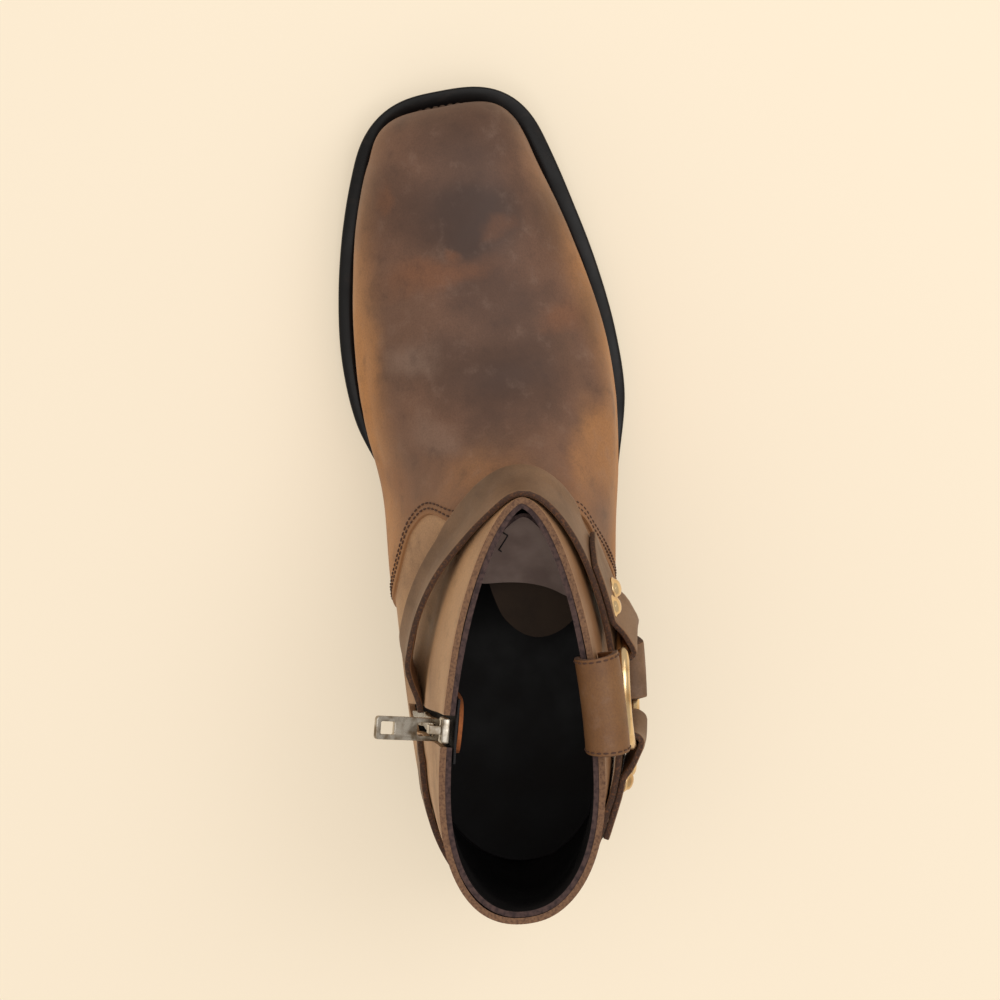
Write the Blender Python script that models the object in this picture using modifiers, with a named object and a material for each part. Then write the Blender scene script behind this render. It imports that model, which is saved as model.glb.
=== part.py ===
"""Biker boot for the right foot, standing on its sole: +X to the toe, +Y to the inner side, +Z up.

Lengths are in millimetres, with x measured from the back of the outsole, until in_frame places them.
"""
import math

import bmesh
import bpy
import numpy as np
from mathutils import Matrix, Vector
from mathutils.bvhtree import BVHTree

MM = 0.001
GAP = 0.3
HEEL_REST_X = 58.0

# Sole
SOLE_LENGTH = 305.0
TREAD_DEPTH = 1.2
OUTSOLE_THICK = 4.6
WELT_THICK = 3.4
WELT_COVER = 9.0
INSOLE_THICK = 3.0
INSOLE_ROOM = 2.0
FLAT_FROM = 175.0
FLAT_TO = 235.0
TOE_SPRING = 12.0
TOE_SKEW = 0.07
SKEW_FROM = 255.0
TOE_ROUND_FROM = 280.0
TOE_ROUND = 3.0
HEEL_ROUND_TO = 45.0
FEATHER_END = 4.5
FEATHER_TOE = 7.0
END_ZONE = 50.0
STATIONS = 40
BREAST_X = 94.0
HEEL_RISE = 31.0
SEAT_SLOPE = 0.042
WAIST_BEND = 20.0
WAIST_EASE = 0.4

# Half widths of the sole, and how far the upper's lower edge stands in from them
SOLE_COLUMNS = ("x", "lateral", "medial", "lateral_margin", "medial_margin")
SOLE_ROWS = (
    (0, 42.0, 38.5, 2.0, 2.0),
    (45, 42.0, 38.5, 3.0, 2.0),
    (75, 42.5, 36.0, 3.0, 1.5),
    (112, 45.4, 32.8, 3.5, 0.0),
    (148, 51.4, 35.5, 5.4, 0.5),
    (182, 58.4, 47.7, 8.2, 5.5),
    (205, 57.5, 50.0, 8.0, 7.0),
    (232, 53.1, 48.0, 8.0, 7.2),
    (265, 44.2, 41.0, 9.5, 8.3),
    (305, 30.0, 27.0, 10.0, 9.0),
)

# Ball patch of diamond blocks
PATCH_X = 205.0
PATCH_FRONT = 86.0
PATCH_BACK = 34.0
PATCH_LATERAL = 40.0
PATCH_MEDIAL = 37.0
PATCH_ROUND = 2.2
PATCH_SEGMENTS = 48
PATCH_CUT_FROM = -5.0
PATCH_CUT_DEPTH = 30.0
BLOCK_REACH = 1.25
BLOCK_PITCH = 12.0
BLOCK_TAPER = 1.1
GROOVE = 0.5
BLOCK_ROOT = 1.0

# Heel sections from the floor up, with the seat as the last one
LIFT_THICK = 7.0
HEEL_ROUND = {"lateral": 2.2, "medial": 2.9}
HEEL_SEGMENTS = 40
HEEL_COLUMNS = ("height", "back", "breast", "lateral", "medial")
LIFT_ROWS = ((0.0, 24.0, 92.6, 30.0, 31.0), (LIFT_THICK, 22.6, 92.6, 30.6, 31.4))
BLOCK_ROWS = (
    (LIFT_THICK + GAP, 22.6, 92.6, 30.6, 31.4),
    (16.0, 15.5, 93.0, 33.6, 33.2),
    (25.0, 7.5, 93.5, 37.4, 35.4),
    (0.0, 1.0, 93.8, 41.2, 37.4),
)
NAIL_RADIUS = 2.4
NAIL_RECESS = 0.7
NAIL_LENGTH = 4.5
NAIL_SEGMENTS = 8
HOLE_OVERRUN = 2.0
NAIL_SPOTS = ((83, -16), (51, -12), (38, 5), (55, 19), (86, 17))

# Sections of the upper from the toe to the collar. Each runs from its ridge to the foot of the
# section on the sole, or past the heel to the back seam. The height is above the upper's lower edge.
WALL = 2.6
VAMP_STEP = 1.2
LEAN = 1.3
HEEL_SECTION = 14
CURVE_POINTS = 40
UPPER_COLUMNS = (
    "ridge_x", "ridge_z", "ridge_y", "foot_x", "foot_height",
    "lateral", "medial", "wide_at", "front", "back", "bow")
UPPER_ROWS = (
    (297.4, 19.4, 0.0, 297.5, 0, 9.0, 8.0, 0.90, 3.0, 2.0, 0),
    (297.9, 29.5, 0.0, 294.0, 0, 19.0, 17.0, 0.90, 2.9, 2.0, 0),
    (295.8, 37.0, 0.0, 287.0, 0, 26.4, 23.6, 0.85, 2.7, 2.0, 0),
    (289.5, 43.5, -0.5, 280.0, 0, 30.0, 27.6, 0.80, 2.5, 2.0, 0),
    (278.0, 48.5, -1.0, 270.0, 0, 33.4, 32.0, 0.74, 2.35, 2.0, 0),
    (256.0, 54.5, -2.0, 251.0, 0, 40.2, 37.6, 0.68, 2.2, 2.0, 0),
    (230.0, 61.5, -4.0, 228.0, 0, 46.0, 41.4, 0.64, 2.1, 2.0, 0),
    (205.0, 71.0, -7.0, 205.0, 0, 49.7, 43.0, 0.62, 2.0, 2.0, 0),
    (184.5, 82.5, -10.0, 180.0, 0, 50.2, 42.6, 0.64, 1.9, 2.0, 0),
    (172.0, 94.5, -12.5, 150.0, 0, 47.4, 40.0, 0.68, 1.82, 2.0, 0),
    (167.0, 103.5, -14.0, 115.0, 0, 43.0, 40.4, 0.70, 1.78, 2.0, 0),
    (165.2, 109.5, -14.6, 75.0, 0, 40.2, 39.8, 0.80, 1.85, 2.0, 0),
    (164.2, 114.0, -15.0, 38.0, 0, 38.6, 39.0, 0.84, 1.95, 2.0, 0),
    (163.6, 117.4, -15.0, 14.0, 0, 36.6, 38.4, 0.74, 2.0, 2.0, 0),
    (163.3, 120.4, -15.0, FEATHER_END, 0, 35.0, 37.8, 0.68, 1.98, 2.05, 0),
    (163.2, 125.2, -15.0, 2.5, 27, 32.6, 36.4, 0.62, 1.9, 2.1, 1),
    (163.4, 130.4, -15.0, 7.5, 57, 30.6, 33.8, 0.62, 1.83, 2.15, 3),
    (163.9, 135.5, -15.0, 14.0, 89, 29.8, 30.6, 0.63, 1.75, 2.2, 5),
    (164.5, 140.0, -15.0, 20.0, 120, 29.4, 28.4, 0.68, 1.75, 2.2, 6),
)
LAST_SECTION = len(UPPER_ROWS) - 1
UPPER_COLUMN_COUNT = 28
VAMP_ROW_COUNT = 20
VAMP_CROWDING = 0.45
QUARTER_ROW_COUNT = 10
SHAFT_ROW_COUNT = 6

# Rear edge of the vamp, as a section number: a tongue under the strap, and a notch on each side of it
VAMP_EDGE_COLUMNS = ("share", "section")
VAMP_EDGE = (
    (-1.0, 10.3), (-0.56, 10.75), (-0.34, 11.05), (-0.22, 11.2), (-0.1, 12.4), (0.1, 12.4),
    (0.25, 10.85), (0.36, 10.05), (0.48, 10.0), (0.6, 10.25), (1.0, 10.2))
STEP_RUN = 0.04
EDGE_REACH = 1.0

# Harness
STRAP_WIDTH = 25.0
ARCH_WIDTH = 33.0
ARCH_CLEAR = 1.2
ARCH_COUNT = 6
LOOP_WIDTH = 22.0
STRAP_THICK = 2.3
STRAP_GAP = 0.9
STRAP_CELLS = 4
LAYER_GAP = 0.5
RING_X = 85.0
RING_Z = 92.0
RING_RADIUS = 23.0
WIRE_RADIUS = 2.3
LOOP_INNER = 3.1
LOOP_CLEAR = 5.0
LOOP_COUNT = 7
INSTEP_SLOPE = 0.45
INSTEP_TILT = 0.23
INSTEP_ANGLES = (-75.2, 100.5)
INSTEP_COUNT = 70
HEEL_STRAP_SLOPE = 0.205
HEEL_STRAP_ANGLES = (-125, -238)
TILT_FROM = -42.0
HEEL_STRAP_COUNT = 24
SHAFT_AXIS = (92.0, -6.0)
FOLD_LENGTH = 33.0
RISE_LENGTH = 28.0
CLOSE_LENGTH = 9.0
RIVET_REACH = 14.0
RIVET_SPREAD = 5.6
RIVET_RADIUS = 4.2
RIVET_HEIGHT = 2.6
RIVET_SEAT = 1.1

# Pull loop
PULL_FROM = 76.0
PULL_TO = 110.0
PULL_THICK = 2.0
PULL_TOP = 8.0
PULL_SWELL = 6.5
PULL_OUTSIDE = 30.0
PULL_INSIDE = 24.0
PULL_PER_SECTION = 24.0

# Zip
ZIP_TOP_X = 90.0
ZIP_TOP_Z = 160.0
ZIP_RAKE = -0.17
ZIP_BOTTOM_Z = 58.0
ZIP_RAY_FROM = 120.0
ZIP_COUNT = 16
SLOT_OVERRUN = 8.0
SLOT_WIDTH = 11.0
SLOT_DEPTH = 22.0
CHAIN_WIDTH = 6.8
CHAIN_THICK = 2.0
TAPE_WIDTH = 24.0
TAPE_THICK = 0.9
TAPE_GAP = 0.8
TAPE_OVERLAP = 4.0
SLIDER_Z = 152.0
SLIDER_DEPTH = 1.6
SLIDER_SIZE = (9.0, 12.0, 3.0)
SLIDER_ROUND = 0.8
BRIDGE_WIDTH = 3.0
BRIDGE_LENGTH = 9.0
BRIDGE_HEIGHT = 4.4
BRIDGE_WALL = 1.6
BRIDGE_SINK = 0.2
TAB_LENGTH = 27.0
TAB_WIDTH = 8.0
TAB_THICK = 1.5
TAB_BAR = 1.6
TAB_ROUND = 1.2
TAB_END = 1.8
WINDOW_ROUND = 0.6
TAB_EYE = (4.6, 8.0)
TAB_WINDOW = (4.4, 6.0)
TAB_DROOP = math.radians(-33.0)

PART_COLLECTION = "biker_boot"
CUTTER_COLLECTION = "biker_boot_cutters"


def clear_scene():
    for thing in list(bpy.data.objects):
        bpy.data.objects.remove(thing, do_unlink=True)
    for name in (PART_COLLECTION, CUTTER_COLLECTION):
        collection = bpy.data.collections.new(name)
        bpy.context.scene.collection.children.link(collection)


def in_frame(point):
    """A place in the part's frame, in metres, with the heel rest at the origin."""
    return Vector(((point[0] - HEEL_REST_X) * MM, point[1] * MM, point[2] * MM))


def finish(name, colour, roughness, metallic=0.0):
    material = bpy.data.materials.new(name)
    material.use_nodes = True
    shader = material.node_tree.nodes["Principled BSDF"]
    shader.inputs["Base Color"].default_value = (*colour, 1.0)
    shader.inputs["Roughness"].default_value = roughness
    shader.inputs["Metallic"].default_value = metallic
    return material


def add_object(name, data, material, collection=PART_COLLECTION):
    thing = bpy.data.objects.new(name, data)
    data.materials.append(material)
    bpy.data.collections[collection].objects.link(thing)
    if collection == CUTTER_COLLECTION:
        thing.hide_render = True
        thing.display_type = "WIRE"
    return thing


def mesh_object(name, bm, material, collection=PART_COLLECTION):
    bmesh.ops.recalc_face_normals(bm, faces=bm.faces)
    mesh = bpy.data.meshes.new(name)
    bm.to_mesh(mesh)
    bm.free()
    mesh.shade_smooth()
    mesh.set_sharp_from_angle(angle=math.radians(40))
    return add_object(name, mesh, material, collection)


def boolean(thing, other, operation):
    modifier = thing.modifiers.new(operation.lower(), "BOOLEAN")
    modifier.operation = operation
    modifier.object = other
    modifier.solver = "EXACT"


def solidify(thing, thickness):
    modifier = thing.modifiers.new("thickness", "SOLIDIFY")
    modifier.thickness = thickness * MM
    modifier.offset = 0.0


def mapped_grid(columns, rows, place):
    """A primitive grid carried to its shape: place takes the shares across and along it."""
    bm = bmesh.new()
    bmesh.ops.create_grid(bm, x_segments=columns, y_segments=rows, size=1.0)
    for vert in bm.verts:
        vert.co = in_frame(place((vert.co.x + 1) / 2, (vert.co.y + 1) / 2))
    bmesh.ops.remove_doubles(bm, verts=bm.verts, dist=1e-6)
    bmesh.ops.dissolve_degenerate(bm, edges=bm.edges, dist=1e-7)
    return bm


def raise_sheet(bm, thickness):
    """Closes a sheet into a plate with upright sides."""
    raised = bmesh.ops.extrude_face_region(bm, geom=bm.faces[:])["geom"]
    verts = [item for item in raised if isinstance(item, bmesh.types.BMVert)]
    bmesh.ops.translate(bm, verts=verts, vec=(0, 0, thickness * MM))


def smooth_step(share):
    share = np.clip(share, 0.0, 1.0)
    return share * share * (3 - 2 * share)


def table_value(rows, columns, name, at, key=None):
    """A smooth curve through one column of a table, by another column or by the row's number."""
    table = np.array(rows, float)
    xs = np.arange(len(rows)) if key is None else table[:, columns.index(key)]
    ys = table[:, columns.index(name)]
    slopes = np.gradient(ys, xs)
    low = np.clip(np.searchsorted(xs, at, side="right") - 1, 0, len(xs) - 2)
    width = xs[low + 1] - xs[low]
    s = np.clip((at - xs[low]) / width, 0.0, 1.0)
    start = (1 + 2 * s) * (1 - s) ** 2 * ys[low] + s * (1 - s) ** 2 * width * slopes[low]
    end = s * s * (3 - 2 * s) * ys[low + 1] + s * s * (s - 1) * width * slopes[low + 1]
    return start + end


def sole_bottom(x):
    toe = TOE_SPRING * np.clip((x - FLAT_TO) / (SOLE_LENGTH - FLAT_TO), 0.0, 1.0) ** 2
    arch = HEEL_RISE * smooth_step((FLAT_FROM - x) / (FLAT_FROM - BREAST_X))
    seat = SEAT_SLOPE * np.maximum(BREAST_X - x, 0.0)
    return TREAD_DEPTH + toe + arch + seat


def welt_bottom(x):
    return sole_bottom(x) + OUTSOLE_THICK + GAP


def upper_edge(x):
    bend = np.clip(1 - np.abs(x - BREAST_X - WAIST_BEND) / (2 * WAIST_BEND), 0.0, 1.0)
    return welt_bottom(x) + WELT_THICK + GAP + WAIST_EASE * bend


def half_width(x, side, margin, inset):
    """Half width of the sole on one side, less a share of the upper's margin and a plain inset."""
    edge = table_value(SOLE_ROWS, SOLE_COLUMNS, side, x, "x")
    edge = edge - margin * table_value(SOLE_ROWS, SOLE_COLUMNS, side + "_margin", x, "x") - inset
    back = margin * FEATHER_END + inset
    front = SOLE_LENGTH - margin * FEATHER_TOE - inset
    toe = np.clip((x - TOE_ROUND_FROM) / (front - TOE_ROUND_FROM), 0.0, 1.0)
    heel = np.clip((HEEL_ROUND_TO - x) / (HEEL_ROUND_TO - back), 0.0, 1.0)
    return edge * (1 - toe ** TOE_ROUND) ** (1 / TOE_ROUND) * np.sqrt(1 - heel * heel)


def skewed(x, y):
    """The square toe runs slightly further forward on its outer side."""
    return x - TOE_SKEW * y * np.clip((x - SKEW_FROM) / (SOLE_LENGTH - SKEW_FROM), 0.0, 1.0)


def plan_place(along, across, height, margin=0.0, inset=0.0):
    """A place on a plate with the sole's plan, with shares from heel to toe and side to side."""
    x = SOLE_LENGTH * (1 - math.cos(math.pi * along)) / 2
    back = margin * FEATHER_END + inset
    if x < END_ZONE:
        x = back + x * (END_ZONE - back) / END_ZONE
    elif x > SOLE_LENGTH - END_ZONE:
        toe = margin * FEATHER_TOE + inset
        x = SOLE_LENGTH - toe - (SOLE_LENGTH - x) * (END_ZONE - toe) / END_ZONE
    side = "medial" if across > 0.5 else "lateral"
    y = (2 * across - 1) * half_width(x, side, margin, inset)
    return skewed(x, y), y, height(x)


def make_outsole(rubber):
    def place(across, along):
        return plan_place(along, across, sole_bottom)
    bm = mapped_grid(2, STATIONS, place)
    raise_sheet(bm, OUTSOLE_THICK)
    outsole = mesh_object("outsole", bm, rubber)
    boolean(outsole, make_tread(rubber), "UNION")


def patch_edge(angle):
    reach = PATCH_FRONT if math.cos(angle) > 0 else PATCH_BACK
    side = PATCH_MEDIAL if math.sin(angle) > 0 else PATCH_LATERAL
    power = 2 / PATCH_ROUND
    x = math.copysign(abs(math.cos(angle)) ** power, math.cos(angle)) * reach
    y = math.copysign(abs(math.sin(angle)) ** power, math.sin(angle)) * side
    return PATCH_X + x, y


def make_tread(rubber):
    """Diamond blocks of the ball patch, cut off along the patch's egg-shaped edge."""
    half = BLOCK_PITCH / math.sqrt(2)
    count = int(PATCH_FRONT / half) + 2
    bm = bmesh.new()
    for i in range(-count, count):
        for j in range(-count, count):
            x = PATCH_X + (i + j) * half
            y = (i - j) * half
            reach = PATCH_FRONT if x > PATCH_X else PATCH_BACK
            share = abs((x - PATCH_X) / reach) ** 2 + abs(y / PATCH_LATERAL) ** 2
            if share > BLOCK_REACH:
                continue
            turn = Matrix.Translation(Vector((x, y, 0)))
            cone = bmesh.ops.create_cone(
                bm, cap_ends=True, segments=4, depth=2.0, matrix=turn,
                radius1=half - GROOVE - BLOCK_TAPER, radius2=half - GROOVE)
            for vert in cone["verts"]:
                low = vert.co.z < 0
                height = sole_bottom(vert.co.x) + (-TREAD_DEPTH if low else BLOCK_ROOT)
                vert.co = in_frame((vert.co.x, vert.co.y, height))
    tread = mesh_object("tread_blocks", bm, rubber, CUTTER_COLLECTION)
    bm = bmesh.new()
    circle = bmesh.ops.create_circle(bm, cap_ends=True, segments=PATCH_SEGMENTS, radius=1.0)
    for vert in circle["verts"]:
        x, y = patch_edge(math.atan2(vert.co.y, vert.co.x))
        vert.co = in_frame((x, y, PATCH_CUT_FROM))
    raise_sheet(bm, PATCH_CUT_DEPTH)
    boolean(tread, mesh_object("patch_outline", bm, rubber, CUTTER_COLLECTION), "INTERSECT")
    return tread


def make_welt(rubber):
    def place(inward, around):
        turn = 2 * math.pi * around
        inset = WELT_COVER * inward
        along = math.acos(max(-1.0, min(1.0, -math.cos(turn)))) / math.pi
        return plan_place(along, 1.0 if math.sin(turn) >= 0 else 0.0, welt_bottom, inward, inset)
    bm = mapped_grid(1, 2 * STATIONS, place)
    raise_sheet(bm, WELT_THICK)
    mesh_object("welt", bm, rubber)


def make_insole(leather):
    def place(across, along):
        return plan_place(along, across, upper_edge, 1.0, WALL + INSOLE_ROOM)
    bm = mapped_grid(2, STATIONS, place)
    raise_sheet(bm, INSOLE_THICK)
    mesh_object("insole", bm, leather)


def heel_outline(angle, row):
    """A heel section: a straight breast in front and a round back, wider than deep at the seat."""
    size = dict(zip(HEEL_COLUMNS, row))
    side = "medial" if angle > 0 else "lateral"
    wide = size[side] if angle > 0 else -size[side]
    corner = math.pi / 4
    if abs(angle) <= corner:
        return size["breast"], wide * abs(angle) / corner
    turn = (abs(angle) - corner) / (math.pi - corner) * math.pi / 2
    power = 2 / HEEL_ROUND[side]
    x = size["breast"] - (size["breast"] - size["back"]) * math.sin(turn) ** power
    return x, wide * max(math.cos(turn), 0.0) ** power


def seat_height(x):
    return TREAD_DEPTH + HEEL_RISE + SEAT_SLOPE * (BREAST_X - x) - GAP


def heel_loft(name, rows, to_seat, material):
    bm = bmesh.new()
    circle = bmesh.ops.create_circle(bm, cap_ends=True, segments=HEEL_SEGMENTS, radius=1.0)
    angles = {vert: math.atan2(vert.co.y, vert.co.x) for vert in circle["verts"]}
    top = bm.faces[:][0]
    for number, row in enumerate(rows):
        if number:
            raised = bmesh.ops.extrude_face_region(bm, geom=[top])["geom"]
            if number > 1:
                bmesh.ops.delete(bm, geom=[top], context="FACES_ONLY")
            top = [item for item in raised if isinstance(item, bmesh.types.BMFace)][0]
            below = angles
            angles = {}
            for vert in top.verts:
                for edge in vert.link_edges:
                    if edge.other_vert(vert) in below:
                        angles[vert] = below[edge.other_vert(vert)]
        seat = to_seat and number == len(rows) - 1
        for vert, angle in angles.items():
            x, y = heel_outline(angle, row)
            vert.co = in_frame((x, y, seat_height(x) if seat else row[HEEL_COLUMNS.index("height")]))
    return mesh_object(name, bm, material)


def make_heel(rubber, steel):
    heel_loft("heel_block", BLOCK_ROWS, True, rubber)
    lift = heel_loft("top_lift", LIFT_ROWS, False, rubber)
    holes = bmesh.new()
    for number, (x, y) in enumerate(NAIL_SPOTS, 1):
        bm = bmesh.new()
        middle = NAIL_RECESS + NAIL_LENGTH / 2
        spot = Matrix.Translation(in_frame((x, y, middle)))
        bmesh.ops.create_cone(
            bm, cap_ends=True, segments=NAIL_SEGMENTS, radius1=NAIL_RADIUS * MM, radius2=NAIL_RADIUS * MM,
            depth=NAIL_LENGTH * MM, matrix=spot)
        mesh_object(f"heel_nail_{number}", bm, steel)
        hole_top = NAIL_RECESS + NAIL_LENGTH + GAP
        spot = Matrix.Translation(in_frame((x, y, (hole_top - HOLE_OVERRUN) / 2)))
        radius = (NAIL_RADIUS + GAP) * MM
        bmesh.ops.create_cone(
            holes, cap_ends=True, segments=NAIL_SEGMENTS, radius1=radius, radius2=radius,
            depth=(hole_top + HOLE_OVERRUN) * MM, matrix=spot)
    boolean(lift, mesh_object("nail_holes", holes, steel, CUTTER_COLLECTION), "DIFFERENCE")


def half_section(number, side, shares):
    """One side of a section of the upper, from its ridge to its foot, at shares of its length."""
    row = {name: float(table_value(UPPER_ROWS, UPPER_COLUMNS, name, number)) for name in UPPER_COLUMNS}
    foot_x = max(row["foot_x"], FEATHER_END) if number <= HEEL_SECTION else row["foot_x"]
    end = float(half_width(foot_x, side, 1.0, 0.0)) if number < HEEL_SECTION else 0.0
    height = row["foot_height"] if number > HEEL_SECTION else 0.0
    foot_z = float(upper_edge(foot_x)) + height
    wide = max(row[side], end + 0.2)
    front = 2 / row["front"]
    back = 2 / row["back"]
    reach = (1 - (end / wide) ** row["back"]) ** (1 / row["back"])
    turn = np.linspace(0.0, math.pi / 2, CURVE_POINTS)
    rear = np.linspace(0.0, math.asin(min(1.0, reach ** (row["back"] / 2))), CURVE_POINTS)[1:]
    cosine = np.maximum(np.cos(turn), 0.0)
    rear_cosine = np.maximum(np.cos(rear), 0.0)
    ahead = row["wide_at"] * (1 - cosine ** front)
    behind = row["wide_at"] + (1 - row["wide_at"]) * np.sin(rear) ** back / reach
    along = np.concatenate((ahead, behind))
    out = np.concatenate((wide * np.sin(turn) ** front, wide * rear_cosine ** back))
    sign = 1.0 if side == "medial" else -1.0
    y = row["ridge_y"] * (1 - along) ** LEAN + sign * out
    x = row["ridge_x"] + (foot_x - row["ridge_x"]) * along
    z = row["ridge_z"] + (foot_z - row["ridge_z"]) * along + row["bow"] * 4 * along * (1 - along)
    points = np.stack((skewed(x, y), y, z), axis=1)
    steps = np.linalg.norm(np.diff(points, axis=0), axis=1)
    length = np.concatenate(([0.0], np.cumsum(steps)))
    return np.stack([np.interp(shares * length[-1], length, points[:, k]) for k in range(3)], axis=1)


class Skin:
    """The outer face of the upper: sections from toe to collar, shares from outer to inner side."""

    def __init__(self, rows_per_section, half_columns):
        numbers = np.linspace(0, LAST_SECTION, LAST_SECTION * rows_per_section + 1)
        shares = np.linspace(0.0, 1.0, half_columns + 1)
        sheet = []
        for number in numbers:
            lateral = half_section(number, "lateral", shares)
            medial = half_section(number, "medial", shares)
            sheet.append(np.concatenate((lateral[::-1], medial[1:])))
        self.points = np.array(sheet)
        down = np.gradient(self.points, axis=0)
        side = np.gradient(self.points, axis=1)
        normals = np.cross(side, down)
        length = np.linalg.norm(normals, axis=2, keepdims=True)
        self.normals = normals / np.maximum(length, 1e-9)
        self.tree = self.make_tree()

    def make_tree(self):
        rows, columns = self.points.shape[:2]
        verts = [Vector(point) for point in self.points.reshape(-1, 3)]
        faces = []
        for row in range(rows - 1):
            for column in range(columns - 1):
                first = row * columns + column
                faces.append((first, first + 1, first + columns + 1, first + columns))
        return BVHTree.FromPolygons(verts, faces)

    def sample(self, grid, section, share):
        row = np.clip(section / LAST_SECTION, 0.0, 1.0) * (grid.shape[0] - 1)
        column = np.clip((share + 1) / 2, 0.0, 1.0) * (grid.shape[1] - 1)
        i = min(int(row), grid.shape[0] - 2)
        j = min(int(column), grid.shape[1] - 2)
        a = row - i
        b = column - j
        near = grid[i, j] * (1 - b) + grid[i, j + 1] * b
        far = grid[i + 1, j] * (1 - b) + grid[i + 1, j + 1] * b
        return near * (1 - a) + far * a

    def place(self, section, share, lift=0.0):
        """A place on the upper, or lifted off it: share is -1 outside, 0 on the ridge and 1 inside."""
        normal = self.sample(self.normals, section, share)
        return self.sample(self.points, section, share) + normal / np.linalg.norm(normal) * lift

    def nearest(self, point, lift):
        """The place on the upper nearest to a point, lifted off it and off the vamp's step."""
        spot, normal, face = self.tree.find_nearest(Vector(point))[:3]
        rows, columns = self.points.shape[:2]
        row, column = divmod(face, columns - 1)
        section = row / (rows - 1) * LAST_SECTION
        share = 2 * column / (columns - 1) - 1
        on_vamp = section < vamp_edge(share) + EDGE_REACH
        return spot + normal * (lift + (VAMP_STEP if on_vamp else 0.0))

    def ray(self, start, direction):
        return self.tree.ray_cast(Vector(start), Vector(direction).normalized())[:2]


def vamp_edge(share):
    """Section number of the vamp's rear edge at a share of the section."""
    return table_value(VAMP_EDGE, VAMP_EDGE_COLUMNS, "section", share, "share")


def upper_row(row, share):
    """Section number and thickness step of a row of the upper's wall, at a share of the section."""
    edge = vamp_edge(share)
    if row <= VAMP_ROW_COUNT:
        taper = min(1.0, row / 2, (1 - abs(share)) * UPPER_COLUMN_COUNT / 2)
        along = row / VAMP_ROW_COUNT
        return edge * along * (1 + VAMP_CROWDING * (1 - along)), VAMP_STEP * taper
    row -= VAMP_ROW_COUNT + 1
    start = edge + STEP_RUN
    if row <= QUARTER_ROW_COUNT:
        return start + (HEEL_SECTION - start) * row / QUARTER_ROW_COUNT, 0.0
    row -= QUARTER_ROW_COUNT
    return HEEL_SECTION + (LAST_SECTION - HEEL_SECTION) * row / SHAFT_ROW_COUNT, 0.0


def make_upper(skin, leather):
    """The upper's wall, with the vamp a step thicker than the quarters behind its edge."""
    row_count = VAMP_ROW_COUNT + 1 + QUARTER_ROW_COUNT + SHAFT_ROW_COUNT
    bm = bmesh.new()
    bmesh.ops.create_grid(bm, x_segments=UPPER_COLUMN_COUNT, y_segments=row_count, size=1.0)
    inner = {}
    for vert in bm.verts:
        share = vert.co.x
        section, step = upper_row(round((vert.co.y + 1) / 2 * row_count), share)
        vert.co = in_frame(skin.place(section, share, step))
        inner[vert] = in_frame(skin.place(section, share, -WALL))
    bmesh.ops.remove_doubles(bm, verts=bm.verts, dist=2e-5)
    edges = [edge for edge in bm.edges if edge.is_boundary]
    verts = bm.verts[:]
    twin = bmesh.ops.duplicate(bm, geom=verts + bm.edges[:] + bm.faces[:])["vert_map"]
    for vert in verts:
        twin[vert].co = inner[vert]
        if vert.is_boundary:
            twin[vert].co.z = max(inner[vert].z, vert.co.z)
    for edge in edges:
        first, second = edge.verts
        bm.faces.new((first, second, twin[second], twin[first]))
    bmesh.ops.triangulate(bm, faces=bm.faces[:])
    return mesh_object("upper", bm, leather)


def band(name, stations, thickness, material, collection=PART_COLLECTION):
    """A strap: each station is a row of places across the middle of its thickness."""
    last = len(stations) - 1
    across = len(stations[0]) - 1

    def place(side, along):
        return stations[round(along * last)][round(side * across)]
    strap = mesh_object(name, mapped_grid(across, last, place), material, collection)
    solidify(strap, thickness)
    return strap


def across_shares(count):
    return np.linspace(-0.5, 0.5, count + 1)


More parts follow.
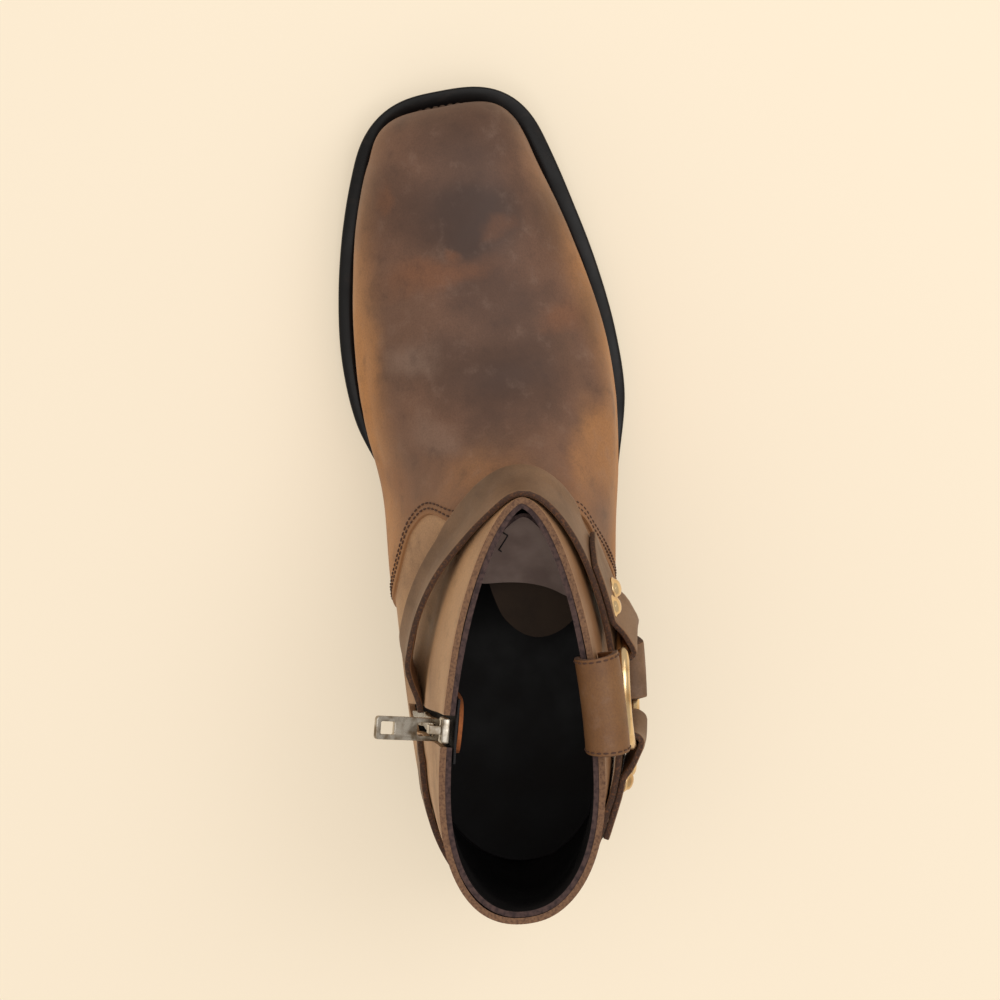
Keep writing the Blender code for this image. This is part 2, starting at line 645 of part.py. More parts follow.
class Harness:
    """The ring on the outer side of the ankle, and the straps that loop round it."""

    def __init__(self, skin):
        self.skin = skin
        spot, normal = skin.ray((RING_X, SHAFT_AXIS[1], RING_Z), (0, -1, 0))
        self.out = Vector(normal)
        reach = STRAP_GAP + STRAP_THICK + LOOP_INNER
        lift = 0.0
        for direction in ((1, 0, INSTEP_SLOPE), (-1, 0, -HEEL_STRAP_SLOPE), (0, 0, -1)):
            wire = spot + self.in_plane(direction) * RING_RADIUS
            near, face = skin.tree.find_nearest(wire)[:2]
            lift = max(lift, reach - (wire - near).dot(face))
        self.centre = spot + self.out * lift

    def in_plane(self, direction):
        direction = Vector(direction)
        return (direction - self.out * direction.dot(self.out)).normalized()

    def belt_place(self, angle, slope, tilt):
        """Where a ray in a strap's tilted plane leaves the shaft."""
        x, y = SHAFT_AXIS
        start = (x, y, RING_Z + slope * (x - RING_X) - tilt * (y - TILT_FROM))
        heading = (math.cos(angle), math.sin(angle), slope * math.cos(angle) - tilt * math.sin(angle))
        return self.skin.ray(start, heading)[0]

    def belt(self, angles, slope, count, tilt=0.0):
        turns = np.radians(np.linspace(angles[0], angles[1], count))
        return [self.belt_place(turn, slope, tilt) for turn in turns]

    def strap(self, path, width):
        """Rows of a strap along a path to the ring, round its wire and back over itself."""
        heading = self.in_plane(path[0] - self.centre)
        side = self.out.cross(heading)
        wire = self.centre + heading * RING_RADIUS
        middle = LOOP_INNER + STRAP_THICK / 2
        low = STRAP_GAP + STRAP_THICK / 2
        under = wire - self.out * middle
        near, face = self.skin.tree.find_nearest(under)[:2]
        ring_low = max(low, (under - near).dot(face))
        path = path[next(n for n, spot in enumerate(path) if (spot - wire).dot(heading) > LOOP_CLEAR):]
        rows = []
        folds = []
        for number, spot in enumerate(path):
            ahead = path[min(number + 1, len(path) - 1)] - path[max(number - 1, 0)]
            face = self.skin.tree.find_nearest(spot)[1]
            over = face.cross(ahead).normalized()
            if over.dot(side) < 0:
                over = -over
            away = (spot - wire).length - LOOP_CLEAR
            wide = LOOP_WIDTH + (width - LOOP_WIDTH) * smooth_step(away / RISE_LENGTH)
            lift = low + (ring_low - low) * smooth_step(1 - away / RISE_LENGTH)
            spread = across_shares(STRAP_CELLS) * wide
            rows.append([self.skin.nearest(spot + over * c, lift) for c in spread])
            if away <= FOLD_LENGTH:
                flat = STRAP_THICK + LAYER_GAP
                gap = flat + (2 * middle - flat) * smooth_step(1 - away / CLOSE_LENGTH)
                folds.append([self.skin.nearest(spot + over * c, lift + gap) for c in spread])
        loop = []
        for turn in np.linspace(0, math.pi, LOOP_COUNT):
            row = []
            for c in across_shares(STRAP_CELLS) * LOOP_WIDTH:
                curve = math.sqrt(RING_RADIUS ** 2 - c * c)
                middle_wire = self.centre + heading * curve + side * c
                bend = self.out * math.cos(turn) + heading * math.sin(turn)
                row.append(middle_wire - bend * middle)
            loop.append(row)
        return rows[::-1] + loop + folds, folds

    def rivet_spots(self, folds):
        """Two places across the folded end of a strap, with the way out of it."""
        ring = self.centre
        reach = RING_RADIUS + RIVET_REACH
        middles = [row[STRAP_CELLS // 2] for row in folds]
        nearest = min(range(1, len(folds) - 1), key=lambda n: abs((middles[n] - ring).length - reach))
        middle = middles[nearest]
        over = (folds[nearest][-1] - folds[nearest][0]).normalized()
        out = over.cross(middles[nearest + 1] - middles[nearest - 1]).normalized()
        if out.dot(self.skin.tree.find_nearest(middle)[1]) < 0:
            out = -out
        top = middle + out * (STRAP_THICK / 2 + RIVET_SEAT)
        return [(top + over * side * RIVET_SPREAD, out) for side in (-1, 1)]


def along_normal(spot, out, up=Vector((0, 0, 1))):
    """A frame at a place, with its own Z pointing out and its Y as near upright as it can be."""
    side = up.cross(out).normalized()
    rise = out.cross(side)
    turn = Matrix((side, rise, out)).transposed().to_4x4()
    return Matrix.Translation(in_frame(spot)) @ turn


def make_rivet(name, spot, out, brass):
    bm = bmesh.new()
    cap = bmesh.ops.create_uvsphere(bm, u_segments=12, v_segments=6, radius=RIVET_RADIUS * MM)
    for vert in cap["verts"]:
        vert.co.z = max(vert.co.z, 0.0) * RIVET_HEIGHT / RIVET_RADIUS
    bmesh.ops.remove_doubles(bm, verts=bm.verts, dist=1e-6)
    bottom = [face for face in bm.faces if all(vert.co.z < 1e-7 for vert in face.verts)]
    bmesh.ops.dissolve_faces(bm, faces=bottom)
    mesh_object(name, bm, brass).matrix_world = along_normal(spot, out)


def make_harness(skin, leather, brass):
    harness = Harness(skin)
    bpy.ops.mesh.primitive_torus_add(
        major_segments=28, minor_segments=8, major_radius=RING_RADIUS * MM, minor_radius=WIRE_RADIUS * MM)
    ring = bpy.context.object
    ring.name = "harness_ring"
    ring.data.materials.append(brass)
    ring.data.shade_smooth()
    for collection in list(ring.users_collection):
        collection.objects.unlink(ring)
    bpy.data.collections[PART_COLLECTION].objects.link(ring)
    ring.matrix_world = along_normal(harness.centre, harness.out)
    belts = (
        ("instep_strap", harness.belt(INSTEP_ANGLES, INSTEP_SLOPE, INSTEP_COUNT, INSTEP_TILT)),
        ("heel_strap", harness.belt(HEEL_STRAP_ANGLES, HEEL_STRAP_SLOPE, HEEL_STRAP_COUNT)),
    )
    rivet = 1
    for name, path in belts:
        rows, folds = harness.strap(path, STRAP_WIDTH)
        band(name, rows, STRAP_THICK, leather)
        for spot, out in harness.rivet_spots(folds):
            make_rivet(f"strap_rivet_{rivet}", spot, out, brass)
            rivet += 1
    foot = float(upper_edge(RING_X)) + ARCH_CLEAR
    heights = np.linspace(RING_Z - RING_RADIUS - LOOP_CLEAR, foot, ARCH_COUNT)
    path = [skin.ray((RING_X, SHAFT_AXIS[1], z), (0, -1, 0))[0] for z in heights]
    band("arch_strap", harness.strap(path, ARCH_WIDTH)[0], STRAP_THICK, leather)


def make_pull_loop(skin, leather):
    """A strap folded over the outer edge of the collar and sewn to both faces of the wall."""
    shares = np.linspace(-1, 0, 201)
    xs = np.array([skin.place(LAST_SECTION, share)[0] for share in shares])
    span = [float(np.interp(x, xs, shares)) for x in np.linspace(PULL_FROM, PULL_TO, 5)]
    outside = STRAP_GAP + PULL_THICK / 2
    inside = -WALL - STRAP_GAP - PULL_THICK / 2
    rows = []
    for drop in np.linspace(PULL_OUTSIDE, 0, 6)[:-1]:
        lift = outside + PULL_SWELL * smooth_step(1 - drop / PULL_OUTSIDE)
        rows.append([skin.place(LAST_SECTION - drop / PULL_PER_SECTION, share, lift) for share in span])
    reach = outside + PULL_SWELL
    for turn in np.linspace(0, math.pi, 9):
        row = []
        for share in span:
            lift = (reach + inside) / 2 + (reach - inside) / 2 * math.cos(turn)
            row.append(skin.place(LAST_SECTION, share, lift) + np.array((0, 0, PULL_TOP * math.sin(turn))))
        rows.append(row)
    for drop in np.linspace(0, PULL_INSIDE, 5)[1:]:
        rows.append([skin.place(LAST_SECTION - drop / PULL_PER_SECTION, share, inside) for share in span])
    band("pull_loop", rows, PULL_THICK, leather)


class ZipLine:
    """The slanted line of the zip down the inner side of the shaft."""

    def __init__(self, skin):
        self.skin = skin
        top = ZIP_TOP_Z
        while self.hit(top)[0] is None:
            top -= 0.5
        self.top = top

    def hit(self, z):
        x = ZIP_TOP_X + (ZIP_TOP_Z - z) * ZIP_RAKE
        return self.skin.ray((x, ZIP_RAY_FROM, z), (0, -1, 0))

    def place(self, z):
        """A place on the line with the ways out of the leather and up the zip."""
        spot, out = self.hit(min(z, self.top))
        below = self.hit(min(z, self.top) - 4.0)[0]
        rise = (spot - below).normalized()
        if z > self.top:
            spot = spot + rise * (z - self.top)
        out = (out - rise * out.dot(rise)).normalized()
        return spot, out, rise

    def rows(self, low, high, count, width, depth):
        rows = []
        for z in np.linspace(low, high, count):
            spot, out, rise = self.place(z)
            side = rise.cross(out)
            rows.append([spot + side * width * c + out * depth for c in across_shares(2)])
        return rows

    def bent_rows(self, low, high, count, width, depth):
        rows = []
        for z in np.linspace(low, high, count):
            spot, out, rise = self.place(z)
            side = rise.cross(out)
            row = []
            for c in across_shares(4) * width:
                near, face = self.skin.tree.find_nearest(spot + side * c)[:2]
                row.append(near + face * depth)
            rows.append(row)
        return rows


def make_slider(spot, out, rise, steel):
    """The slider's body with a bridge over it, which the bar of the pull tab passes under."""
    width, length, thick = SLIDER_SIZE
    frame = along_normal(spot, out, rise)
    bm = bmesh.new()
    bmesh.ops.create_cube(bm, size=1.0)
    bmesh.ops.scale(bm, vec=(width * MM, length * MM, thick * MM), verts=bm.verts)
    bmesh.ops.bevel(bm, geom=bm.edges[:], offset=SLIDER_ROUND * MM, segments=2, affect="EDGES", profile=0.5)
    slider = mesh_object("zip_slider", bm, steel)
    slider.matrix_world = frame
    bm = bmesh.new()
    bmesh.ops.create_cube(bm, size=1.0)
    bmesh.ops.scale(bm, vec=(BRIDGE_WIDTH * MM, BRIDGE_LENGTH * MM, BRIDGE_HEIGHT * MM), verts=bm.verts)
    lift = (thick + BRIDGE_HEIGHT) / 2 - BRIDGE_SINK
    bmesh.ops.translate(bm, vec=(0, 0, lift * MM), verts=bm.verts)
    bridge = mesh_object("slider_bridge", bm, steel, CUTTER_COLLECTION)
    bridge.matrix_world = frame
    bm = bmesh.new()
    opening = BRIDGE_LENGTH - 2 * BRIDGE_WALL
    head = BRIDGE_HEIGHT - BRIDGE_WALL - BRIDGE_SINK
    bmesh.ops.create_cube(bm, size=1.0)
    bmesh.ops.scale(bm, vec=(3 * BRIDGE_WIDTH * MM, opening * MM, head * MM), verts=bm.verts)
    bmesh.ops.translate(bm, vec=(0, 0, (thick + head) / 2 * MM), verts=bm.verts)
    eye = mesh_object("bridge_opening", bm, steel, CUTTER_COLLECTION)
    eye.matrix_world = frame
    boolean(bridge, eye, "DIFFERENCE")
    boolean(slider, bridge, "UNION")
    return (thick + head) / 2


def rounded_outline(curve, middle, size, radius):
    """One closed outline of a flat piece: a rectangle with round corners."""
    corners = ((1, 1, 0), (-1, 1, 90), (-1, -1, 180), (1, -1, 270))
    points = []
    for right, up, start in corners:
        for step in range(4):
            angle = math.radians(start + 30 * step)
            x = middle[0] + right * (size[0] / 2 - radius) + radius * math.cos(angle)
            y = middle[1] + up * (size[1] / 2 - radius) + radius * math.sin(angle)
            points.append((x * MM, y * MM))
    spline = curve.splines.new("POLY")
    spline.points.add(len(points) - 1)
    for item, (x, y) in zip(spline.points, points):
        item.co = (x, y, 0, 1)
    spline.use_cyclic_u = True


def make_pull_tab(hinge, out, rise, steel):
    """A flat tab with an eye round the slider's bridge and a window at its free end."""
    curve = bpy.data.curves.new("zip_pull_tab", "CURVE")
    curve.dimensions = "2D"
    curve.fill_mode = "BOTH"
    curve.extrude = TAB_THICK / 2 * MM
    near = -TAB_BAR / 2
    rounded_outline(curve, (0, near + TAB_LENGTH / 2), (TAB_WIDTH, TAB_LENGTH), TAB_ROUND)
    rounded_outline(curve, (0, TAB_BAR / 2 + TAB_EYE[1] / 2), TAB_EYE, TAB_ROUND)
    window = near + TAB_LENGTH - TAB_END - TAB_WINDOW[1] / 2
    rounded_outline(curve, (0, window), TAB_WINDOW, WINDOW_ROUND)
    tab = add_object("zip_pull_tab", curve, steel)
    side = rise.cross(out)
    reach = out * math.cos(TAB_DROOP) - rise * math.sin(TAB_DROOP)
    turn = Matrix((side, reach, side.cross(reach))).transposed().to_4x4()
    tab.matrix_world = Matrix.Translation(in_frame(hinge)) @ turn


def make_zip(skin, upper, tape_cloth, steel):
    line = ZipLine(skin)
    bottom = ZIP_BOTTOM_Z
    slot = line.rows(bottom - 1.0, line.top + SLOT_OVERRUN, ZIP_COUNT, SLOT_WIDTH, -WALL / 2)
    cutter = band("zip_slot", slot, SLOT_DEPTH, steel, CUTTER_COLLECTION)
    cutter.modifiers.new("flat_faces", "TRIANGULATE")
    boolean(upper, cutter, "DIFFERENCE")
    chain = line.rows(bottom, SLIDER_Z - SLIDER_SIZE[1] / 2 - GAP, ZIP_COUNT, CHAIN_WIDTH, -WALL / 2)
    band("zip_chain", chain, CHAIN_THICK, steel)
    depth = -WALL - TAPE_GAP - TAPE_THICK / 2
    tape = line.bent_rows(bottom - TAPE_OVERLAP, line.top - 1.0, ZIP_COUNT, TAPE_WIDTH, depth)
    band("zip_tape", tape, TAPE_THICK, tape_cloth)
    spot, out, rise = line.place(SLIDER_Z)
    middle = spot - out * SLIDER_DEPTH
    lift = make_slider(middle, out, rise, steel)
    make_pull_tab(middle + out * lift, out, rise, steel)


def build():
    clear_scene()
    leather = finish("oiled_leather", (0.16, 0.09, 0.05), 0.6)
    strap_leather = finish("strap_leather", (0.17, 0.12, 0.08), 0.6)
    lining = finish("dark_lining", (0.02, 0.018, 0.016), 0.8)
    rubber = finish("black_rubber", (0.025, 0.024, 0.026), 0.65)
    welt_rubber = finish("welt_rubber", (0.012, 0.012, 0.014), 0.45)
    brass = finish("gilt_metal", (0.78, 0.6, 0.36), 0.25, 1.0)
    steel = finish("aged_steel", (0.45, 0.42, 0.37), 0.35, 1.0)
    make_outsole(rubber)
    make_welt(welt_rubber)
    make_heel(rubber, steel)
    make_insole(lining)
    skin = Skin(8, 60)
    upper = make_upper(skin, leather)
    make_harness(skin, strap_leather, brass)
    make_pull_loop(skin, strap_leather)
    make_zip(skin, upper, lining, steel)


build()
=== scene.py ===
"""Looks of the biker boot, right foot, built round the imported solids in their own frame.

Lengths are in millimetres with x from the back of the outsole, until in_frame places them.
"""
import math

import bmesh
import bpy
import numpy as np
from mathutils import Matrix, Vector
from mathutils.bvhtree import BVHTree


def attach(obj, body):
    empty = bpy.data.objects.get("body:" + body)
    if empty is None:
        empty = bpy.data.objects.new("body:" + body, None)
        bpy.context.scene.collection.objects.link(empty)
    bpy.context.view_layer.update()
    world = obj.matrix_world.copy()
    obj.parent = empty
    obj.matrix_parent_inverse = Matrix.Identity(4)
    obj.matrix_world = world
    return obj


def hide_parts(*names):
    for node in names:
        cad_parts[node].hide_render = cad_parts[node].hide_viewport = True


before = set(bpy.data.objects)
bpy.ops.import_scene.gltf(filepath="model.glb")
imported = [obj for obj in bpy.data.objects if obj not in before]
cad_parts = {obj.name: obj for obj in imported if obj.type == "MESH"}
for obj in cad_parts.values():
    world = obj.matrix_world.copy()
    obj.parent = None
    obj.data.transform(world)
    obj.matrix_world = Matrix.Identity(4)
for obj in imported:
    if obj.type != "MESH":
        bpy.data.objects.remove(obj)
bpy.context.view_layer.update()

# Outsole
# A moulded plate of black rubber that runs from the heel seat through the raised waist to the toe.
# Under the ball it carries a patch of diamond blocks, and a sewn groove follows its edge.
MM = 0.001
GAP = 0.3
HEEL_REST_X = 58.0
SOLE_LENGTH = 305.0
TREAD_DEPTH = 1.2
OUTSOLE_THICK = 4.6
FLAT_FROM = 175.0
FLAT_TO = 235.0
TOE_SPRING = 12.0
TOE_SKEW = 0.07
SKEW_FROM = 255.0
TOE_ROUND_FROM = 280.0
TOE_ROUND = 3.0
HEEL_ROUND_TO = 45.0
FEATHER_END = 4.5
FEATHER_TOE = 7.0
END_ZONE = 50.0
BREAST_X = 94.0
HEEL_RISE = 31.0
SEAT_SLOPE = 0.042
SOLE_COLUMNS = ("x", "lateral", "medial", "lateral_margin", "medial_margin")
SOLE_ROWS = (
    (0, 42.0, 38.5, 2.0, 2.0),
    (45, 42.0, 38.5, 3.0, 2.0),
    (75, 42.5, 36.0, 3.0, 1.5),
    (112, 45.4, 32.8, 3.5, 0.0),
    (148, 51.4, 35.5, 5.4, 0.5),
    (182, 58.4, 47.7, 8.2, 5.5),
    (205, 57.5, 50.0, 8.0, 7.0),
    (232, 53.1, 48.0, 8.0, 7.2),
    (265, 44.2, 41.0, 9.5, 8.3),
    (305, 30.0, 27.0, 10.0, 9.0),
)


def in_frame(point):
    """A place in the part's frame, in metres, with the heel rest at the origin."""
    return Vector(((point[0] - HEEL_REST_X) * MM, point[1] * MM, point[2] * MM))


def smooth_step(share):
    share = np.clip(share, 0.0, 1.0)
    return share * share * (3 - 2 * share)


def table_value(rows, columns, name, at, key=None):
    """A smooth curve through one column of a table, by another column or by the row's number."""
    table = np.array(rows, float)
    xs = np.arange(len(rows)) if key is None else table[:, columns.index(key)]
    ys = table[:, columns.index(name)]
    slopes = np.gradient(ys, xs)
    low = np.clip(np.searchsorted(xs, at, side="right") - 1, 0, len(xs) - 2)
    width = xs[low + 1] - xs[low]
    s = np.clip((at - xs[low]) / width, 0.0, 1.0)
    start = (1 + 2 * s) * (1 - s) ** 2 * ys[low] + s * (1 - s) ** 2 * width * slopes[low]
    end = s * s * (3 - 2 * s) * ys[low + 1] + s * s * (s - 1) * width * slopes[low + 1]
    return start + end


def sole_bottom(x):
    toe = TOE_SPRING * np.clip((x - FLAT_TO) / (SOLE_LENGTH - FLAT_TO), 0.0, 1.0) ** 2
    arch = HEEL_RISE * smooth_step((FLAT_FROM - x) / (FLAT_FROM - BREAST_X))
    seat = SEAT_SLOPE * np.maximum(BREAST_X - x, 0.0)
    return TREAD_DEPTH + toe + arch + seat


def half_width(x, side, margin, inset):
    """Half width of the sole on one side, less a share of the upper's margin and a plain inset."""
    edge = table_value(SOLE_ROWS, SOLE_COLUMNS, side, x, "x")
    edge = edge - margin * table_value(SOLE_ROWS, SOLE_COLUMNS, side + "_margin", x, "x") - inset
    back = margin * FEATHER_END + inset
    front = SOLE_LENGTH - margin * FEATHER_TOE - inset
    toe = np.clip((x - TOE_ROUND_FROM) / (front - TOE_ROUND_FROM), 0.0, 1.0)
    heel = np.clip((HEEL_ROUND_TO - x) / (HEEL_ROUND_TO - back), 0.0, 1.0)
    return edge * (1 - toe ** TOE_ROUND) ** (1 / TOE_ROUND) * np.sqrt(1 - heel * heel)


def skewed(x, y):
    """The square toe runs slightly further forward on its outer side."""
    return x - TOE_SKEW * y * np.clip((x - SKEW_FROM) / (SOLE_LENGTH - SKEW_FROM), 0.0, 1.0)


def plan_place(along, across, height, margin=0.0, inset=0.0):
    """A place on a plate with the sole's plan, with shares from heel to toe and side to side."""
    x = SOLE_LENGTH * (1 - math.cos(math.pi * along)) / 2
    back = margin * FEATHER_END + inset
    if x < END_ZONE:
        x = back + x * (END_ZONE - back) / END_ZONE
    elif x > SOLE_LENGTH - END_ZONE:
        toe = margin * FEATHER_TOE + inset
        x = SOLE_LENGTH - toe - (SOLE_LENGTH - x) * (END_ZONE - toe) / END_ZONE
    side = "medial" if across > 0.5 else "lateral"
    y = (2 * across - 1) * half_width(x, side, margin, inset)
    return skewed(x, y), y, height(x)


def new_piece(add, name=None, **settings):
    """Adds a primitive with nothing else selected."""
    bpy.ops.object.select_all(action="DESELECT")
    add(**settings)
    piece = bpy.context.object
    if name:
        piece.name = name
        piece.data.name = name
    return piece


def new_grid(name, columns, rows, place):
    """A primitive grid carried to its shape: place takes the shares across and along it."""
    piece = new_piece(bpy.ops.mesh.primitive_grid_add, name,
                      x_subdivisions=columns, y_subdivisions=rows, size=2.0)
    for vert in piece.data.vertices:
        vert.co = in_frame(place((vert.co.x + 1) / 2, (vert.co.y + 1) / 2))
    return piece


def pick(*pieces):
    """Selects these pieces alone, with the first as the active one."""
    bpy.ops.object.select_all(action="DESELECT")
    for piece in pieces:
        piece.select_set(True)
    bpy.context.view_layer.objects.active = pieces[0]


def edit_mesh(piece):
    """Opens a piece in edit mode with all of it selected."""
    pick(piece)
    bpy.ops.object.mode_set(mode="EDIT")
    bpy.ops.mesh.select_all(action="SELECT")


def close_mesh(piece, weld=1e-6):
    """Merges doubles, turns the faces outwards and leaves edit mode."""
    edit_mesh(piece)
    bpy.ops.mesh.remove_doubles(threshold=weld)
    bpy.ops.mesh.normals_make_consistent(inside=False)
    bpy.ops.object.mode_set(mode="OBJECT")


def modify(piece, kind, **settings):
    """Adds one modifier to a piece and applies it."""
    pick(piece)
    modifier = piece.modifiers.new(kind.lower(), kind)
    for setting, value in settings.items():
        setattr(modifier, setting, value)
    bpy.ops.object.modifier_apply(modifier=modifier.name)


def bevel(piece, width, segments, angle=30.0):
    """Rounds the edges that turn more sharply than an angle."""
    modify(piece, "BEVEL", width=width * MM, segments=segments, limit_method="ANGLE",
           angle_limit=math.radians(angle))


def smooth(piece, angle=35.0):
    pick(piece)
    bpy.ops.object.shade_smooth_by_angle(angle=math.radians(angle))


def fit(piece, finishes, slot, *nodes):
    """Gives a piece its finishes and lets it stand for the solids it replaces."""
    for number, finish in enumerate(finishes):
        if number < len(piece.data.materials):
            piece.data.materials[number] = finish
        else:
            piece.data.materials.append(finish)
    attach(piece, "boot")
    if nodes:
        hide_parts(*nodes)


class Finish:
    """A material whose nodes are added one by one, with sockets linked or set in place."""

    def __init__(self, name, **values):
        self.material = bpy.data.materials.new(name)
        self.material.use_nodes = True
        self.tree = self.material.node_tree
        self.shader = self.tree.nodes["Principled BSDF"]
        self.coords = self.tree.nodes.new("ShaderNodeTexCoord").outputs
        for socket, value in values.items():
            self.set(self.shader, socket.replace("_", " ").title().replace("Ior", "IOR"), value)

    def set(self, node, socket, value):
        if isinstance(value, bpy.types.NodeSocket):
            self.tree.links.new(value, node.inputs[socket])
        else:
            node.inputs[socket].default_value = value

    def add(self, kind, sockets, output=0, **settings):
        node = self.tree.nodes.new("ShaderNode" + kind)
        for setting, value in settings.items():
            setattr(node, setting, value)
        for socket, value in sockets.items():
            self.set(node, socket, value)
        return node.outputs[output]

    def ribs(self, scale, distortion=0.0, vector=None, **settings):
        """Even ribs, as a share from 0 to 1."""
        vector = self.coords["Object"] if vector is None else vector
        return self.add("TexWave", {"Vector": vector, "Scale": scale, "Distortion": distortion},
                        output=1, **settings)

    def stretched(self, scale, turn=(0, 0, 0)):
        return self.add("Mapping", {"Vector": self.coords["Object"], "Scale": scale, "Rotation": turn})

    def noise(self, scale, detail=2.0, vector=None, rough=0.5):
        vector = vector or self.coords["Object"]
        return self.add("TexNoise", {"Vector": vector, "Scale": scale, "Detail": detail, "Roughness": rough})

    def curve(self, value, low, high, start=0.0, end=1.0):
        """A value brought from one range to another, held at its ends and eased between them."""
        return self.add("MapRange", {"Value": value, "From Min": low, "From Max": high, "To Min": start,
                                     "To Max": end}, interpolation_type="SMOOTHSTEP")

    def mix(self, share, first, second):
        return self.add("Mix", {0: share, 6: first, 7: second}, output=2, data_type="RGBA")

    def math(self, operation, first, second=0.5):
        return self.add("Math", {0: first, 1: second}, operation=operation)

    def bump(self, height, strength, distance, normal=None):
        sockets = {"Height": height, "Strength": strength, "Distance": distance * MM}
        if normal:
            sockets["Normal"] = normal
        return self.add("Bump", sockets)

    def wear(self, colour=None, roughness=None, normal=None):
        for socket, value in (("Base Color", colour), ("Roughness", roughness), ("Normal", normal)):
            if value is not None:
                self.set(self.shader, socket, value)
        return self.material


def paint(red, green, blue):
    """A shade as a painter reads it, from 0 to 255, as the light value that a shader takes."""
    shades = [c / 255 for c in (red, green, blue)]
    light = [c / 12.92 if c <= 0.04045 else ((c + 0.055) / 1.055) ** 2.4 for c in shades]
    return (*light, 1.0)


OUTSOLE_STATIONS = 120
OUTSOLE_ACROSS = 20
GROOVE_INSET = 6.0
EDGE_PROFILE = ((0.0, 0.6), (0.2, 0.2), (0.6, 0.0), (5.0, 0.0),
                (5.4, 0.9), (6.6, 0.9), (7.0, 0.0), (9.0, 0.0))
PATCH_X = 205.0
PATCH_FRONT = 86.0
PATCH_BACK = 34.0
PATCH_LATERAL = 40.0
PATCH_MEDIAL = 37.0
PATCH_ROUND = 2.2
PATCH_POINTS = 120
PATCH_CUT_FROM = -5.0
PATCH_CUT_DEPTH = 30.0
BLOCK_PITCH = 12.0
BLOCK_TAPER = 1.1
BLOCK_GROOVE = 0.5
BLOCK_ROOT = 0.6
BLOCK_REACH = 1.25
HATCH_PITCH = 1.5
RIB_TURN = 0.314


def edge_place(inset, around, height, margin=0.0):
    """A place on a line that follows the sole's edge all round, from the heel past the outer side."""
    turn = 2 * math.pi * around
    along = math.acos(max(-1.0, min(1.0, -math.cos(turn)))) / math.pi
    return plan_place(along, 1.0 if math.sin(turn) >= 0 else 0.0, height, margin, inset)


def outsole_edge(inward, around):
    inset, rise = EDGE_PROFILE[round(inward * (len(EDGE_PROFILE) - 1))]
    return edge_place(inset, around, lambda x: sole_bottom(x) + rise)


def outsole_middle(across, along):
    return plan_place(along, across, sole_bottom, 0.0, EDGE_PROFILE[-1][0])


def join(name, *pieces):
    """Makes one piece of several, under the first one's place in the list."""
    pick(*pieces)
    bpy.ops.object.join()
    pieces[0].name = name
    pieces[0].data.name = name
    return pieces[0]


def lift_sheet(piece, thickness):
    """Closes a sheet into a plate with upright sides."""
    edit_mesh(piece)
    bpy.ops.mesh.remove_doubles(threshold=1e-6)
    bpy.ops.mesh.extrude_region_move(TRANSFORM_OT_translate={"value": (0, 0, thickness * MM)})
    bpy.ops.object.mode_set(mode="OBJECT")
    close_mesh(piece)


edge_strip = new_grid("outsole_edge", len(EDGE_PROFILE) - 1, 2 * OUTSOLE_STATIONS, outsole_edge)
middle = new_grid("outsole_middle", OUTSOLE_ACROSS, OUTSOLE_STATIONS, outsole_middle)
outsole = join("outsole_plate", edge_strip, middle)
lift_sheet(outsole, OUTSOLE_THICK)
smooth(outsole)


def patch_edge(angle):
    reach = PATCH_FRONT if math.cos(angle) > 0 else PATCH_BACK
    side = PATCH_MEDIAL if math.sin(angle) > 0 else PATCH_LATERAL
    power = 2 / PATCH_ROUND
    x = math.copysign(abs(math.cos(angle)) ** power, math.cos(angle)) * reach
    y = math.copysign(abs(math.sin(angle)) ** power, math.sin(angle)) * side
    return PATCH_X + x, y


def new_block(x, y, half):
    """One diamond block, narrower at the floor and rooted in the plate."""
    block = new_piece(bpy.ops.mesh.primitive_cone_add, vertices=4, depth=2.0,
                      radius1=half - BLOCK_GROOVE - BLOCK_TAPER, radius2=half - BLOCK_GROOVE)
    for vert in block.data.vertices:
        spot = vert.co.x + x, vert.co.y + y
        height = sole_bottom(spot[0]) + (-TREAD_DEPTH if vert.co.z < 0 else BLOCK_ROOT)
        vert.co = in_frame((*spot, height))
    return block


half_pitch = BLOCK_PITCH / math.sqrt(2)
block_count = int(PATCH_FRONT / half_pitch) + 2
blocks = []
for i in range(-block_count, block_count):
    for j in range(-block_count, block_count):
        x, y = PATCH_X + (i + j) * half_pitch, (i - j) * half_pitch
        reach = PATCH_FRONT if x > PATCH_X else PATCH_BACK
        if ((x - PATCH_X) / reach) ** 2 + (y / PATCH_LATERAL) ** 2 <= BLOCK_REACH:
            blocks.append(new_block(x, y, half_pitch))
ball_patch = join("ball_patch", *blocks)
patch_outline = new_piece(bpy.ops.mesh.primitive_circle_add,
                          vertices=PATCH_POINTS, radius=1.0, fill_type="NGON")
for vert in patch_outline.data.vertices:
    x, y = patch_edge(math.atan2(vert.co.y, vert.co.x))
    vert.co = in_frame((x, y, PATCH_CUT_FROM))
lift_sheet(patch_outline, PATCH_CUT_DEPTH)
modify(ball_patch, "BOOLEAN", operation="INTERSECT", object=patch_outline, solver="EXACT")
bpy.data.objects.remove(patch_outline)
bevel(ball_patch, 0.25, 2)
smooth(ball_patch)

